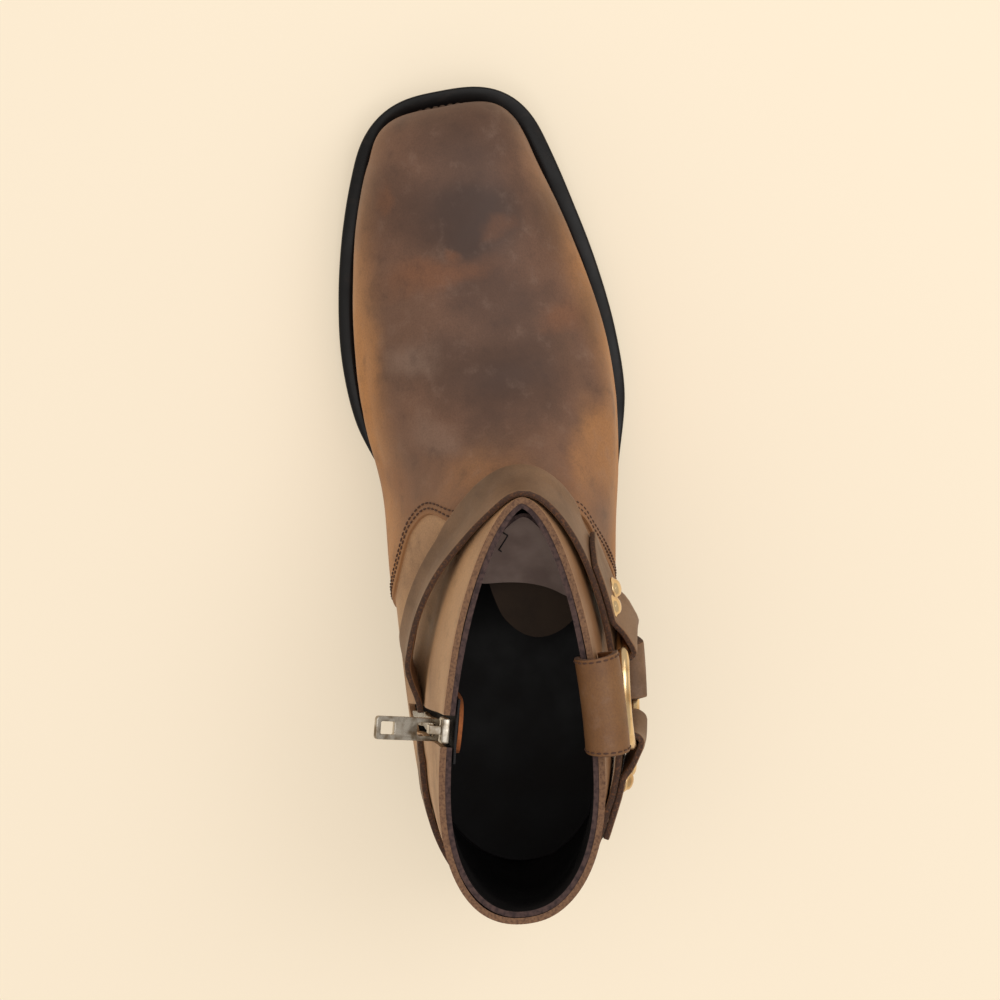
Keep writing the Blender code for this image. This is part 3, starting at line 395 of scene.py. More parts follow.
rubber = Finish("sole_rubber", roughness=0.62, specular_ior_level=0.35)
hatch = rubber.stretched((1, 1, 0), turn=(0, 0, math.radians(45)))
ribs = rubber.ribs(RIB_TURN / (HATCH_PITCH * MM), vector=hatch)
cross = rubber.ribs(RIB_TURN / (HATCH_PITCH * MM), vector=hatch, bands_direction="Y")
blocks_in_turn = rubber.add("TexChecker", {"Vector": hatch, "Scale": 0.5 / (BLOCK_PITCH * MM)}, output=1)
tread = rubber.math("MAXIMUM", ribs, rubber.math("MULTIPLY", cross, blocks_in_turn))
under = rubber.add("SeparateXYZ", {"Vector": rubber.add("NewGeometry", {}, output=1)}, output=2)
facing_floor = rubber.curve(under, -0.8, -0.4, 1.0, 0.0)
dust = rubber.noise(60, 5.0)
scuffs = rubber.noise(1.0, 4.0, rubber.stretched((90, 90, 900)))
shade = rubber.mix(rubber.curve(dust, 0.45, 0.75), paint(44, 42, 43), paint(66, 61, 57))
shade = rubber.mix(rubber.math("MULTIPLY", rubber.curve(scuffs, 0.55, 0.8), 0.35), shade, paint(92, 84, 76))
relief = rubber.bump(rubber.math("MULTIPLY", tread, facing_floor), 0.6, 0.35)
relief = rubber.bump(rubber.noise(700, 3.0), 0.15, 0.2, relief)
SOLE_RUBBER = rubber.wear(shade, rubber.curve(dust, 0.3, 0.7, 0.5, 0.75), relief)
fit(outsole, [SOLE_RUBBER], "sole_rubber", "outsole")
fit(ball_patch, [SOLE_RUBBER], "sole_rubber")

STITCH_GAUGE = 0.8
STITCH_PARTS = (8, 5)
STITCH_RISE = 0.05


def even_places(places, pitch):
    """Places at an even pitch along a line, each with the way that the line runs there."""
    line = np.array(places, float)
    length = np.concatenate(([0.0], np.cumsum(np.linalg.norm(np.diff(line, axis=0), axis=1))))
    spots = []
    for at in np.arange(pitch / 2, length[-1], pitch):
        here = np.array([np.interp(at, length, line[:, k]) for k in range(3)])
        ahead = np.array([np.interp(min(at + 0.5, length[-1]), length, line[:, k]) for k in range(3)])
        back = np.array([np.interp(max(at - 0.5, 0.0), length, line[:, k]) for k in range(3)])
        spots.append((Vector(here), Vector(ahead - back).normalized()))
    return spots


def sew(name, lines, pitch, thread, up, gauge=STITCH_GAUGE, cover=0.78):
    """Rows of stitches: one small thread loop modelled once and copied along each line."""
    stitch = new_piece(bpy.ops.mesh.primitive_uv_sphere_add, name, segments=STITCH_PARTS[0],
                       ring_count=STITCH_PARTS[1], radius=0.5)
    row = bmesh.new()
    for places in lines:
        for spot, heading in even_places(places, pitch):
            out = up(spot)
            side = heading.cross(out).normalized()
            out = side.cross(heading)
            turn = Matrix((heading * pitch * cover * MM, side * gauge * MM, out * gauge * MM)).transposed()
            loop = stitch.data.copy()
            loop.transform(Matrix.Translation(in_frame(spot)) @ turn.to_4x4())
            row.from_mesh(loop)
            bpy.data.meshes.remove(loop)
    row.to_mesh(stitch.data)
    row.free()
    bpy.ops.object.shade_smooth()
    fit(stitch, [thread], "strap_leather")
    return stitch


def thread_finish(name, colour):
    twine = Finish(name, roughness=0.7)
    twist = twine.ribs(900.0, 2.0)
    return twine.wear(twine.mix(twist, colour, (*[c * 0.55 for c in colour[:3]], 1.0)))


BLACK_THREAD = thread_finish("black_thread", paint(34, 30, 29))
groove = [edge_place(GROOVE_INSET, a, lambda x: sole_bottom(x) + 0.5) for a in np.linspace(0, 1, 1200)]
groove = [place for place in groove if place[0] > BREAST_X + 2.0]
sew("sole_stitches", [groove], 4.6, BLACK_THREAD, lambda spot: Vector((0, 0, -1)), 1.1)

# Heel
# A block of stacked rubber, strongly tapered and set under the foot, with a straight breast in front.
# A ribbed top lift is nailed under it as the wearing piece, with its nail heads sunk below the floor.
LIFT_THICK = 7.0
HEEL_POINTS = 160
HEEL_ROUND = {"lateral": 2.2, "medial": 2.9}
HEEL_COLUMNS = ("height", "back", "breast", "lateral", "medial")
LIFT_ROWS = ((0.0, 24.0, 92.6, 30.0, 31.0), (LIFT_THICK, 22.6, 92.6, 30.6, 31.4))
BLOCK_ROWS = (
    (LIFT_THICK + GAP, 22.6, 92.6, 30.6, 31.4),
    (16.0, 15.5, 93.0, 33.6, 33.2),
    (25.0, 7.5, 93.5, 37.4, 35.4),
    (0.0, 1.0, 93.8, 41.2, 37.4),
)
NAIL_RADIUS = 2.4
NAIL_RECESS = 0.7
NAIL_LENGTH = 4.5
NAIL_POINTS = 24
LIFT_RIB_PITCH = 1.7
NAIL_SPOTS = ((83, -16), (51, -12), (38, 5), (55, 19), (86, 17))


def heel_outline(angle, row):
    """A heel section: a straight breast in front and a round back, wider than deep at the seat."""
    size = dict(zip(HEEL_COLUMNS, row))
    side = "medial" if angle > 0 else "lateral"
    wide = size[side] if angle > 0 else -size[side]
    corner = math.pi / 4
    if abs(angle) <= corner:
        return size["breast"], wide * abs(angle) / corner
    turn = (abs(angle) - corner) / (math.pi - corner) * math.pi / 2
    power = 2 / HEEL_ROUND[side]
    x = size["breast"] - (size["breast"] - size["back"]) * math.sin(turn) ** power
    return x, wide * max(math.cos(turn), 0.0) ** power


def seat_height(x):
    return TREAD_DEPTH + HEEL_RISE + SEAT_SLOPE * (BREAST_X - x) - GAP


def heel_place(rows, to_seat, around, level):
    """A place on the heel's side, at a share of the way round and up through its sections."""
    angle = math.pi * (2 * around - 1)
    at = level * (len(rows) - 1)
    size = [float(table_value(rows, HEEL_COLUMNS, name, at)) for name in HEEL_COLUMNS]
    x, y = heel_outline(angle, size)
    if not to_seat:
        return x, y, size[0]
    low = rows[0][0]
    return x, y, low + (seat_height(x) - low) * level


def fill_ends(piece):
    """Closes the open rims of a lofted side with one face each."""
    edit_mesh(piece)
    bpy.ops.mesh.remove_doubles(threshold=1e-6)
    bpy.ops.mesh.select_all(action="DESELECT")
    bpy.ops.mesh.select_mode(type="EDGE")
    bpy.ops.mesh.select_non_manifold()
    bpy.ops.mesh.fill_holes(sides=0)
    bpy.ops.mesh.select_mode(type="VERT")
    bpy.ops.object.mode_set(mode="OBJECT")
    close_mesh(piece)


def new_heel_part(name, rows, to_seat, levels):
    piece = new_grid(name, HEEL_POINTS, levels, lambda a, b: heel_place(rows, to_seat, a, b))
    fill_ends(piece)
    return piece


heel_block = new_heel_part("heel_stack", BLOCK_ROWS, True, 24)
bevel(heel_block, 0.5, 3, 50.0)
smooth(heel_block)
top_lift = new_heel_part("heel_lift", LIFT_ROWS, False, 6)
holes = []
for x, y in NAIL_SPOTS:
    depth = NAIL_RECESS + NAIL_LENGTH + GAP
    holes.append(new_piece(bpy.ops.mesh.primitive_cylinder_add, vertices=NAIL_POINTS,
                           radius=(NAIL_RADIUS + GAP) * MM, depth=2 * depth * MM,
                           location=in_frame((x, y, 0.0))))
    bpy.ops.object.transform_apply(location=True)
nail_holes = join("nail_holes", *holes)
modify(top_lift, "BOOLEAN", operation="DIFFERENCE", object=nail_holes, solver="EXACT")
bpy.data.objects.remove(nail_holes)
bevel(top_lift, 0.4, 2, 50.0)
smooth(top_lift)

lift = Finish("lift_rubber", roughness=0.6, specular_ior_level=0.35)
ribbed = lift.ribs(RIB_TURN / (LIFT_RIB_PITCH * MM))
lift_under = lift.add("SeparateXYZ", {"Vector": lift.add("NewGeometry", {}, output=1)}, output=2)
lift_faces_floor = lift.curve(lift_under, -0.9, -0.6, 1.0, 0.0)
lift_dust = lift.noise(80, 5.0)
lift_shade = lift.mix(lift.curve(lift_dust, 0.45, 0.75), paint(46, 43, 44), paint(70, 64, 60))
lift_relief = lift.bump(lift.math("MULTIPLY", ribbed, lift_faces_floor), 0.7, 0.4)
lift_relief = lift.bump(lift.noise(500, 3.0), 0.15, 0.2, lift_relief)
LIFT_RUBBER = lift.wear(lift_shade, lift.curve(lift_dust, 0.3, 0.7, 0.5, 0.7), lift_relief)
fit(heel_block, [SOLE_RUBBER], "sole_rubber", "heel_block")
fit(top_lift, [LIFT_RUBBER], "sole_rubber", "top_lift")

dull = Finish("nail_steel", metallic=1.0)
rust = dull.noise(900, 4.0)
NAIL_STEEL = dull.wear(dull.mix(dull.curve(rust, 0.4, 0.7), paint(150, 140, 126), paint(92, 74, 58)),
                       dull.curve(rust, 0.3, 0.7, 0.35, 0.6))
for number, (x, y) in enumerate(NAIL_SPOTS, 1):
    middle = NAIL_RECESS + NAIL_LENGTH / 2
    nail = new_piece(bpy.ops.mesh.primitive_cylinder_add, f"lift_nail_{number}", vertices=NAIL_POINTS,
                     radius=NAIL_RADIUS * MM, depth=NAIL_LENGTH * MM, location=in_frame((x, y, middle)))
    bpy.ops.object.transform_apply(location=True)
    bevel(nail, 0.8, 3)
    smooth(nail, 50.0)
    fit(nail, [NAIL_STEEL], "nail_steel", f"heel_nail_{number}")

# Welt
# A strip of black rubber laid on the outsole all round the foot, with a rounded and polished edge.
# The upper is sewn down to it by a close row of stitches along its foot.
WELT_THICK = 3.4
WELT_POINTS = 480
WELT_PROFILE = (
    (0.0, 9.0, 0.0), (0.0, 0.3, 0.0), (0.0, 0.0, 0.35), (0.0, 0.0, 2.4), (0.0, 0.25, 3.0), (0.0, 0.9, 3.4),
    (0.55, 0.0, 3.35), (1.0, -1.9, 3.3), (1.0, -1.5, 2.75), (1.0, -0.7, 2.75), (1.0, -0.3, 3.4),
    (1.0, 9.0, 3.4), (1.0, 9.0, 0.0))
WELT_STITCH_OUT = 1.1
WELT_STITCH_RISE = 3.0


def welt_bottom(x):
    return sole_bottom(x) + OUTSOLE_THICK + GAP


def welt_place(share, around):
    margin, inset, rise = WELT_PROFILE[round(share * (len(WELT_PROFILE) - 1))]
    return edge_place(inset, around, lambda x: welt_bottom(x) + rise, margin)


welt = new_grid("welt_strip", len(WELT_PROFILE) - 1, WELT_POINTS, welt_place)
close_mesh(welt)
smooth(welt, 55.0)
polish = Finish("welt_rubber", specular_ior_level=0.22)
welt_scuff = polish.noise(1.0, 4.0, polish.stretched((160, 160, 1200)))
welt_cloud = polish.noise(35, 3.0)
welt_shade = polish.mix(polish.curve(welt_scuff, 0.5, 0.8), paint(19, 17, 17), paint(34, 28, 25))
welt_gloss = polish.curve(welt_cloud, 0.3, 0.7, 0.26, 0.48)
WELT_RUBBER = polish.wear(welt_shade, welt_gloss, polish.bump(polish.noise(420, 3.0), 0.12, 0.2))
fit(welt, [WELT_RUBBER], "welt_rubber", "welt")
WELT_THREAD = thread_finish("welt_thread", paint(96, 72, 54))
welt_line = [edge_place(-WELT_STITCH_OUT, a, lambda x: welt_bottom(x) + WELT_STITCH_RISE, 1.0)
             for a in np.linspace(0, 1, 1600)]
sew("welt_stitches", [welt_line], 3.0, WELT_THREAD, lambda spot: Vector((0, 0, 1)), 1.0)

# Insole
# A firm footbed board inside the upper, faced with black leather. It follows the sole's
# bend from the ball up to the heel seat.
WALL = 2.6
INSOLE_THICK = 3.0
INSOLE_ROOM = 2.0
WAIST_BEND = 20.0
WAIST_EASE = 0.4


def upper_edge(x):
    bend = np.clip(1 - np.abs(x - BREAST_X - WAIST_BEND) / (2 * WAIST_BEND), 0.0, 1.0)
    return welt_bottom(x) + WELT_THICK + GAP + WAIST_EASE * bend


insole = new_grid("footbed", 30, 140, lambda across, along: plan_place(along, across, upper_edge, 1.0,
                                                                      WALL + INSOLE_ROOM))
lift_sheet(insole, INSOLE_THICK)
bevel(insole, 0.8, 2, 50.0)
smooth(insole, 50.0)
sock = Finish("black_lining", specular_ior_level=0.3)
sock_wear = sock.noise(40, 4.0)
BLACK_LINING = sock.wear(sock.mix(sock.curve(sock_wear, 0.4, 0.75), paint(20, 17, 17), paint(34, 29, 28)),
                         sock.curve(sock_wear, 0.3, 0.7, 0.55, 0.8),
                         sock.bump(sock.noise(900, 3.0), 0.2, 0.2))
fit(insole, [BLACK_LINING], "lining", "insole")

# Upper
# Oiled brown leather, lasted over the foot and sewn into one wall: a plain vamp with a square toe, and
# quarters that rise into the shaft. The vamp's rear edge lies on the quarters as a step, sewn twice.
VAMP_STEP = 1.2
LEAN = 1.3
HEEL_SECTION = 14
CURVE_POINTS = 60
UPPER_COLUMNS = (
    "ridge_x", "ridge_z", "ridge_y", "foot_x", "foot_height",
    "lateral", "medial", "wide_at", "front", "back", "bow")
UPPER_ROWS = (
    (297.4, 19.4, 0.0, 297.5, 0, 9.0, 8.0, 0.90, 3.0, 2.0, 0),
    (297.9, 29.5, 0.0, 294.0, 0, 19.0, 17.0, 0.90, 2.9, 2.0, 0),
    (295.8, 37.0, 0.0, 287.0, 0, 26.4, 23.6, 0.85, 2.7, 2.0, 0),
    (289.5, 43.5, -0.5, 280.0, 0, 30.0, 27.6, 0.80, 2.5, 2.0, 0),
    (278.0, 48.5, -1.0, 270.0, 0, 33.4, 32.0, 0.74, 2.35, 2.0, 0),
    (256.0, 54.5, -2.0, 251.0, 0, 40.2, 37.6, 0.68, 2.2, 2.0, 0),
    (230.0, 61.5, -4.0, 228.0, 0, 46.0, 41.4, 0.64, 2.1, 2.0, 0),
    (205.0, 71.0, -7.0, 205.0, 0, 49.7, 43.0, 0.62, 2.0, 2.0, 0),
    (184.5, 82.5, -10.0, 180.0, 0, 50.2, 42.6, 0.64, 1.9, 2.0, 0),
    (172.0, 94.5, -12.5, 150.0, 0, 47.4, 40.0, 0.68, 1.82, 2.0, 0),
    (167.0, 103.5, -14.0, 115.0, 0, 43.0, 40.4, 0.70, 1.78, 2.0, 0),
    (165.2, 109.5, -14.6, 75.0, 0, 40.2, 39.8, 0.80, 1.85, 2.0, 0),
    (164.2, 114.0, -15.0, 38.0, 0, 38.6, 39.0, 0.84, 1.95, 2.0, 0),
    (163.6, 117.4, -15.0, 14.0, 0, 36.6, 38.4, 0.74, 2.0, 2.0, 0),
    (163.3, 120.4, -15.0, FEATHER_END, 0, 35.0, 37.8, 0.68, 1.98, 2.05, 0),
    (163.2, 125.2, -15.0, 2.5, 27, 32.6, 36.4, 0.62, 1.9, 2.1, 1),
    (163.4, 130.4, -15.0, 7.5, 57, 30.6, 33.8, 0.62, 1.83, 2.15, 3),
    (163.9, 135.5, -15.0, 14.0, 89, 29.8, 30.6, 0.63, 1.75, 2.2, 5),
    (164.5, 140.0, -15.0, 20.0, 120, 29.4, 28.4, 0.68, 1.75, 2.2, 6),
)
LAST_SECTION = len(UPPER_ROWS) - 1
VAMP_EDGE_COLUMNS = ("share", "section")
VAMP_EDGE = (
    (-1.0, 10.3), (-0.56, 10.75), (-0.34, 11.05), (-0.22, 11.2), (-0.1, 12.4), (0.1, 12.4),
    (0.25, 10.85), (0.36, 10.05), (0.48, 10.0), (0.6, 10.25), (1.0, 10.2))
EDGE_REACH = 0.6
LEATHER_THICK = 2.2
UPPER_ACROSS = 200
VAMP_ROW_COUNT = 110
VAMP_CROWDING = 0.45
EDGE_STEPS = ((-0.6, 1.0), (-0.2, 0.9), (0.0, 0.5), (0.1, 0.0))
QUARTER_ROW_COUNT = 44
SHAFT_ROW_COUNT = 44

# Soft troughs and ridges of the vamp, each from one place on it to another
CREASE_COLUMNS = ("from_section", "from_share", "to_section", "to_share", "width", "height")
CREASES = (
    (6.6, -0.50, 9.7, -0.46, 7.0, 1.0),
    (6.4, -0.41, 9.2, -0.36, 6.0, -1.0),
    (7.4, -0.63, 9.6, -0.60, 5.0, -0.7),
    (6.2, 0.70, 8.6, 0.74, 4.0, 0.8),
    (6.4, 0.60, 8.8, 0.66, 5.0, -0.7),
    (6.7, -0.30, 6.9, 0.40, 6.0, -0.5),
    (7.5, -0.34, 7.4, 0.30, 6.0, -0.45),
    (7.1, -0.25, 7.15, 0.30, 6.0, 0.35),
    (8.3, -0.30, 8.2, 0.34, 6.0, -0.5),
    (10.6, -0.52, 12.2, -0.40, 5.0, -0.6),
    (10.4, 0.50, 12.0, 0.40, 5.0, -0.6),
    (14.5, 0.92, 15.6, 0.70, 7.0, -0.8),
    (14.4, -0.90, 15.8, -0.76, 7.0, -0.8),
)
CREASE_POINTS = 24
WAVE = 0.25


def half_section(number, side, shares):
    """One side of a section of the upper, from its ridge to its foot, at shares of its length."""
    row = {name: float(table_value(UPPER_ROWS, UPPER_COLUMNS, name, number)) for name in UPPER_COLUMNS}
    foot_x = max(row["foot_x"], FEATHER_END) if number <= HEEL_SECTION else row["foot_x"]
    end = float(half_width(foot_x, side, 1.0, 0.0)) if number < HEEL_SECTION else 0.0
    height = row["foot_height"] if number > HEEL_SECTION else 0.0
    foot_z = float(upper_edge(foot_x)) + height
    wide = max(row[side], end + 0.2)
    front = 2 / row["front"]
    back = 2 / row["back"]
    reach = (1 - (end / wide) ** row["back"]) ** (1 / row["back"])
    turn = np.linspace(0.0, math.pi / 2, CURVE_POINTS)
    rear = np.linspace(0.0, math.asin(min(1.0, reach ** (row["back"] / 2))), CURVE_POINTS)[1:]
    cosine = np.maximum(np.cos(turn), 0.0)
    rear_cosine = np.maximum(np.cos(rear), 0.0)
    ahead = row["wide_at"] * (1 - cosine ** front)
    behind = row["wide_at"] + (1 - row["wide_at"]) * np.sin(rear) ** back / reach
    along = np.concatenate((ahead, behind))
    out = np.concatenate((wide * np.sin(turn) ** front, wide * rear_cosine ** back))
    sign = 1.0 if side == "medial" else -1.0
    y = row["ridge_y"] * (1 - along) ** LEAN + sign * out
    x = row["ridge_x"] + (foot_x - row["ridge_x"]) * along
    z = row["ridge_z"] + (foot_z - row["ridge_z"]) * along + row["bow"] * 4 * along * (1 - along)
    points = np.stack((skewed(x, y), y, z), axis=1)
    steps = np.linalg.norm(np.diff(points, axis=0), axis=1)
    length = np.concatenate(([0.0], np.cumsum(steps)))
    return np.stack([np.interp(shares * length[-1], length, points[:, k]) for k in range(3)], axis=1)


class Skin:
    """The outer face of the upper: sections from toe to collar, shares from outer to inner side."""

    def __init__(self, rows_per_section, half_columns):
        numbers = np.linspace(0, LAST_SECTION, LAST_SECTION * rows_per_section + 1)
        shares = np.linspace(0.0, 1.0, half_columns + 1)
        sheet = []
        for number in numbers:
            lateral = half_section(number, "lateral", shares)
            medial = half_section(number, "medial", shares)
            sheet.append(np.concatenate((lateral[::-1], medial[1:])))
        self.points = np.array(sheet)
        normals = np.cross(np.gradient(self.points, axis=1), np.gradient(self.points, axis=0))
        self.normals = normals / np.maximum(np.linalg.norm(normals, axis=2, keepdims=True), 1e-9)
        rows, columns = self.points.shape[:2]
        faces = []
        for row in range(rows - 1):
            for column in range(columns - 1):
                first = row * columns + column
                faces.append((first, first + 1, first + columns + 1, first + columns))
        self.tree = BVHTree.FromPolygons([Vector(p) for p in self.points.reshape(-1, 3)], faces)

    def sample(self, grid, section, share):
        row = np.clip(section / LAST_SECTION, 0.0, 1.0) * (grid.shape[0] - 1)
        column = np.clip((share + 1) / 2, 0.0, 1.0) * (grid.shape[1] - 1)
        i = min(int(row), grid.shape[0] - 2)
        j = min(int(column), grid.shape[1] - 2)
        a, b = row - i, column - j
        near = grid[i, j] * (1 - b) + grid[i, j + 1] * b
        far = grid[i + 1, j] * (1 - b) + grid[i + 1, j + 1] * b
        return near * (1 - a) + far * a

    def normal(self, section, share):
        normal = self.sample(self.normals, section, share)
        return normal / np.linalg.norm(normal)

    def place(self, section, share, lift=0.0):
        """A place on the upper, or lifted off it: share is -1 outside, 0 on the ridge and 1 inside."""
        return self.sample(self.points, section, share) + self.normal(section, share) * lift

    def span(self, section, share):
        """Length of one section step at a place."""
        step = self.place(section + 0.1, share) - self.place(section - 0.1, share)
        return float(np.linalg.norm(step) / 0.2)

    def nearest(self, point, lift):
        """The place on the upper nearest to a point, lifted off it and off the vamp's step."""
        spot, normal, face = self.tree.find_nearest(Vector(point))[:3]
        rows, columns = self.points.shape[:2]
        row, column = divmod(face, columns - 1)
        section = row / (rows - 1) * LAST_SECTION
        share = 2 * column / (columns - 1) - 1
        on_vamp = smooth_step((vamp_edge(share) + EDGE_REACH - section) / EDGE_REACH)
        return spot + normal * (lift + float(on_vamp) * VAMP_STEP)

    def outward(self, point):
        return self.tree.find_nearest(Vector(point))[1]

    def ray(self, start, direction):
        return self.tree.ray_cast(Vector(start), Vector(direction).normalized())[:2]


def vamp_edge(share):
    """Section number of the vamp's rear edge at a share of the section."""
    return table_value(VAMP_EDGE, VAMP_EDGE_COLUMNS, "section", share, "share")


def upper_row(row, share):
    """Section number and thickness step of a row of the upper's wall, at a share of the section."""
    edge = vamp_edge(share)
    per_mm = 1 / skin.span(edge, share)
    foot = float(smooth_step((1 - abs(share)) * 14))
    if row < VAMP_ROW_COUNT:
        along = row / VAMP_ROW_COUNT
        end = edge + EDGE_STEPS[0][0] * per_mm
        toe = float(smooth_step(row / 8))
        return end * along * (1 + VAMP_CROWDING * (1 - along)), VAMP_STEP * min(foot, toe)
    row -= VAMP_ROW_COUNT
    if row < len(EDGE_STEPS):
        return edge + EDGE_STEPS[row][0] * per_mm, VAMP_STEP * foot * EDGE_STEPS[row][1]
    row -= len(EDGE_STEPS) - 1
    start = edge + EDGE_STEPS[-1][0] * per_mm
    if row <= QUARTER_ROW_COUNT:
        return start + (HEEL_SECTION - start) * row / QUARTER_ROW_COUNT, 0.0
    row -= QUARTER_ROW_COUNT
    return HEEL_SECTION + (LAST_SECTION - HEEL_SECTION) * row / SHAFT_ROW_COUNT, 0.0


def crease_heights(points):
    """How far the soft troughs and ridges move each of these places in or out."""
    heights = np.zeros(len(points))
    for row in CREASES:
        crease = dict(zip(CREASE_COLUMNS, row))
        depth = np.zeros(len(points))
        for share in np.linspace(0, 1, CREASE_POINTS):
            section = crease["from_section"] * (1 - share) + crease["to_section"] * share
            across = crease["from_share"] * (1 - share) + crease["to_share"] * share
            fade = math.sin(math.pi * (0.06 + 0.88 * share)) ** 0.7
            away = np.linalg.norm(points - skin.place(section, across), axis=1)
            depth = np.maximum(depth, fade * np.exp(-(away / crease["width"]) ** 2))
        heights += crease["height"] * depth
    x, y, z = points.T
    wave = np.sin(x / 19 + y / 31) * np.sin(y / 15 + z / 27 + 1.0)
    ripple = np.sin(x / 9 - z / 12) * np.sin(y / 11)
    return heights + WAVE * (wave + 0.5 * ripple)


skin = Skin(16, 120)
upper_row_count = VAMP_ROW_COUNT + len(EDGE_STEPS) - 1 + QUARTER_ROW_COUNT + SHAFT_ROW_COUNT
upper = new_piece(bpy.ops.mesh.primitive_grid_add, "upper_leather", x_subdivisions=UPPER_ACROSS,
                  y_subdivisions=upper_row_count, size=2.0)
shares = np.array([vert.co.x for vert in upper.data.vertices])
rows = [round((vert.co.y + 1) / 2 * upper_row_count) for vert in upper.data.vertices]
spots = [upper_row(row, share) for row, share in zip(rows, shares)]
flat_places = np.array([skin.place(section, share) for (section, _), share in zip(spots, shares)])
outs = np.array([skin.normal(section, share) for (section, _), share in zip(spots, shares)])
dents = crease_heights(flat_places) * smooth_step((1 - np.abs(shares)) * 9)
dents = dents * smooth_step(np.array(rows) / 12)
steps = np.array([step for _, step in spots])
for vert, place, out, dent, step in zip(upper.data.vertices, flat_places, outs, dents, steps):
    vert.co = in_frame(place + out * (dent + step))
foot_row = [abs(share) > 0.999 and spot[0] < HEEL_SECTION for share, spot in zip(shares, spots)]
for vert, at_foot in zip(upper.data.vertices, foot_row):
    if at_foot:
        vert.co.z -= GAP * MM
on_vamp = upper.data.attributes.new("vamp", "FLOAT", "POINT")
on_vamp.data.foreach_set("value", (np.array(rows) < VAMP_ROW_COUNT + 3).astype(np.float32))
trim = upper.data.attributes.new("trim", "FLOAT", "POINT")
trim_values = []
FAR_OFF = 99.0
for (section, _), share, row in zip(spots, shares, rows):
    edge_gap = foot_gap = FAR_OFF
    if row < VAMP_ROW_COUNT + 3:
        edge_gap = abs(section - vamp_edge(share)) * skin.span(section, share)
    if section < HEEL_SECTION:
        foot_gap = (1 - abs(share)) * 90
    collar_gap = (LAST_SECTION - section) * 24.0
    trim_values.append(max(math.exp(-gap / fade) for gap, fade in (
        (edge_gap, 5.0), (foot_gap, 7.0), (collar_gap, 5.0))))
trim.data.foreach_set("value", np.array(trim_values, np.float32))
coords = upper.data.uv_layers[0].data
for loop in upper.data.loops:
    coords[loop.index].uv = (shares[loop.vertex_index] / 2 + 0.5, spots[loop.vertex_index][0] / LAST_SECTION)


def face_outward(piece):
    """Merges doubles on an open sheet and turns its faces away from the foot."""
    edit_mesh(piece)
    bpy.ops.mesh.remove_doubles(threshold=2e-5)
    bpy.ops.object.mode_set(mode="OBJECT")
    face = piece.data.polygons[len(piece.data.polygons) // 2]
    middle = Vector((face.center.x / MM + HEEL_REST_X, face.center.y / MM, face.center.z / MM))
    if face.normal.dot(skin.outward(middle)) < 0:
        edit_mesh(piece)
        bpy.ops.mesh.flip_normals()
        bpy.ops.object.mode_set(mode="OBJECT")


face_outward(upper)
HIDE_SHADES = {
    "dark": paint(66, 47, 39), "brown": paint(120, 86, 67), "tan": paint(186, 128, 74),
    "rust": paint(128, 82, 54), "grey": paint(190, 148, 108), "pale": paint(148, 122, 106)}

# Cloudy patches of the vamp in plan: middle x and y, reach along and across, shade and weight. Most are the
# worn leather's own tone, the pale ones are a painted sheen, and the tan ones on the flanks are partly
# painted light.
PATCHES = (
    (258, -6, 34, 32, "dark", 0.95),
    (262, 20, 24, 20, "dark", 0.5),
    (290, -12, 18, 40, "dark", 0.6),
    (250, -36, 20, 14, "dark", 0.5),
    (228, -12, 20, 30, "dark", 0.6),
    (198, -16, 28, 32, "dark", 0.8),
    (204, 10, 18, 22, "dark", 0.45),
    (238, 8, 9, 34, "rust", 0.6),
    (252, -14, 6, 8, "rust", 0.35),
    (266, 24, 7, 6, "rust", 0.4),
    (246, 2, 4, 6, "rust", 0.5),
    (216, -34, 10, 14, "rust", 0.5),
    (162, 29, 16, 14, "rust", 0.5),
    (160, -34, 14, 14, "rust", 0.4),
    # Painted sheen: pale spots that stand for light glancing off the top of the vamp
    (207, 20, 12, 12, "pale", 0.4),
    (182, 14, 10, 14, "pale", 0.3),
    # The tan patches on the flanks, here and at x 206, are partly the leather's own tan and partly painted
    # light on the steep sides
    (168, -48, 26, 18, "tan", 0.6),
    (220, -48, 26, 12, "dark", 0.3),
    (206, 42, 34, 14, "tan", 0.5),
    (168, -2, 14, 24, "tan", 0.3),
)


def mottled(hide, shade, scale, rough, dark, pale):
    """Darker and paler flecks over a shade of leather, and the grain that speckles it."""
    mottle = hide.noise(scale, 6.0, rough=rough)
    shade = hide.mix(hide.curve(mottle, 0.5, 0.8, 0.0, dark), shade, HIDE_SHADES["dark"])
    shade = hide.mix(hide.curve(mottle, 0.2, 0.48, pale, 0.0), shade, HIDE_SHADES["pale"])
    grain = hide.noise(1500, 3.0, rough=0.7)
    return hide.mix(hide.curve(grain, 0.35, 0.75, 0.0, 0.3), shade, HIDE_SHADES["dark"]), grain


def leather_finish(name, base, cloud):
    """Oiled leather with clouded colour, a fine speckled grain and a soft wrinkle."""
    hide = Finish(name, specular_ior_level=0.35)
    clouds = hide.noise(26, 5.0)
    shade = hide.mix(hide.curve(clouds, 0.38, 0.7), base, cloud)
    shade, grain = mottled(hide, shade, 130, 0.6, 0.35, 0.3)
    relief = hide.bump(grain, 0.25, 0.15, hide.bump(hide.noise(260, 5.0), 0.16, 0.35))
    rough = hide.curve(clouds, 0.3, 0.7, 0.5, 0.66)
    return hide, shade, rough, relief


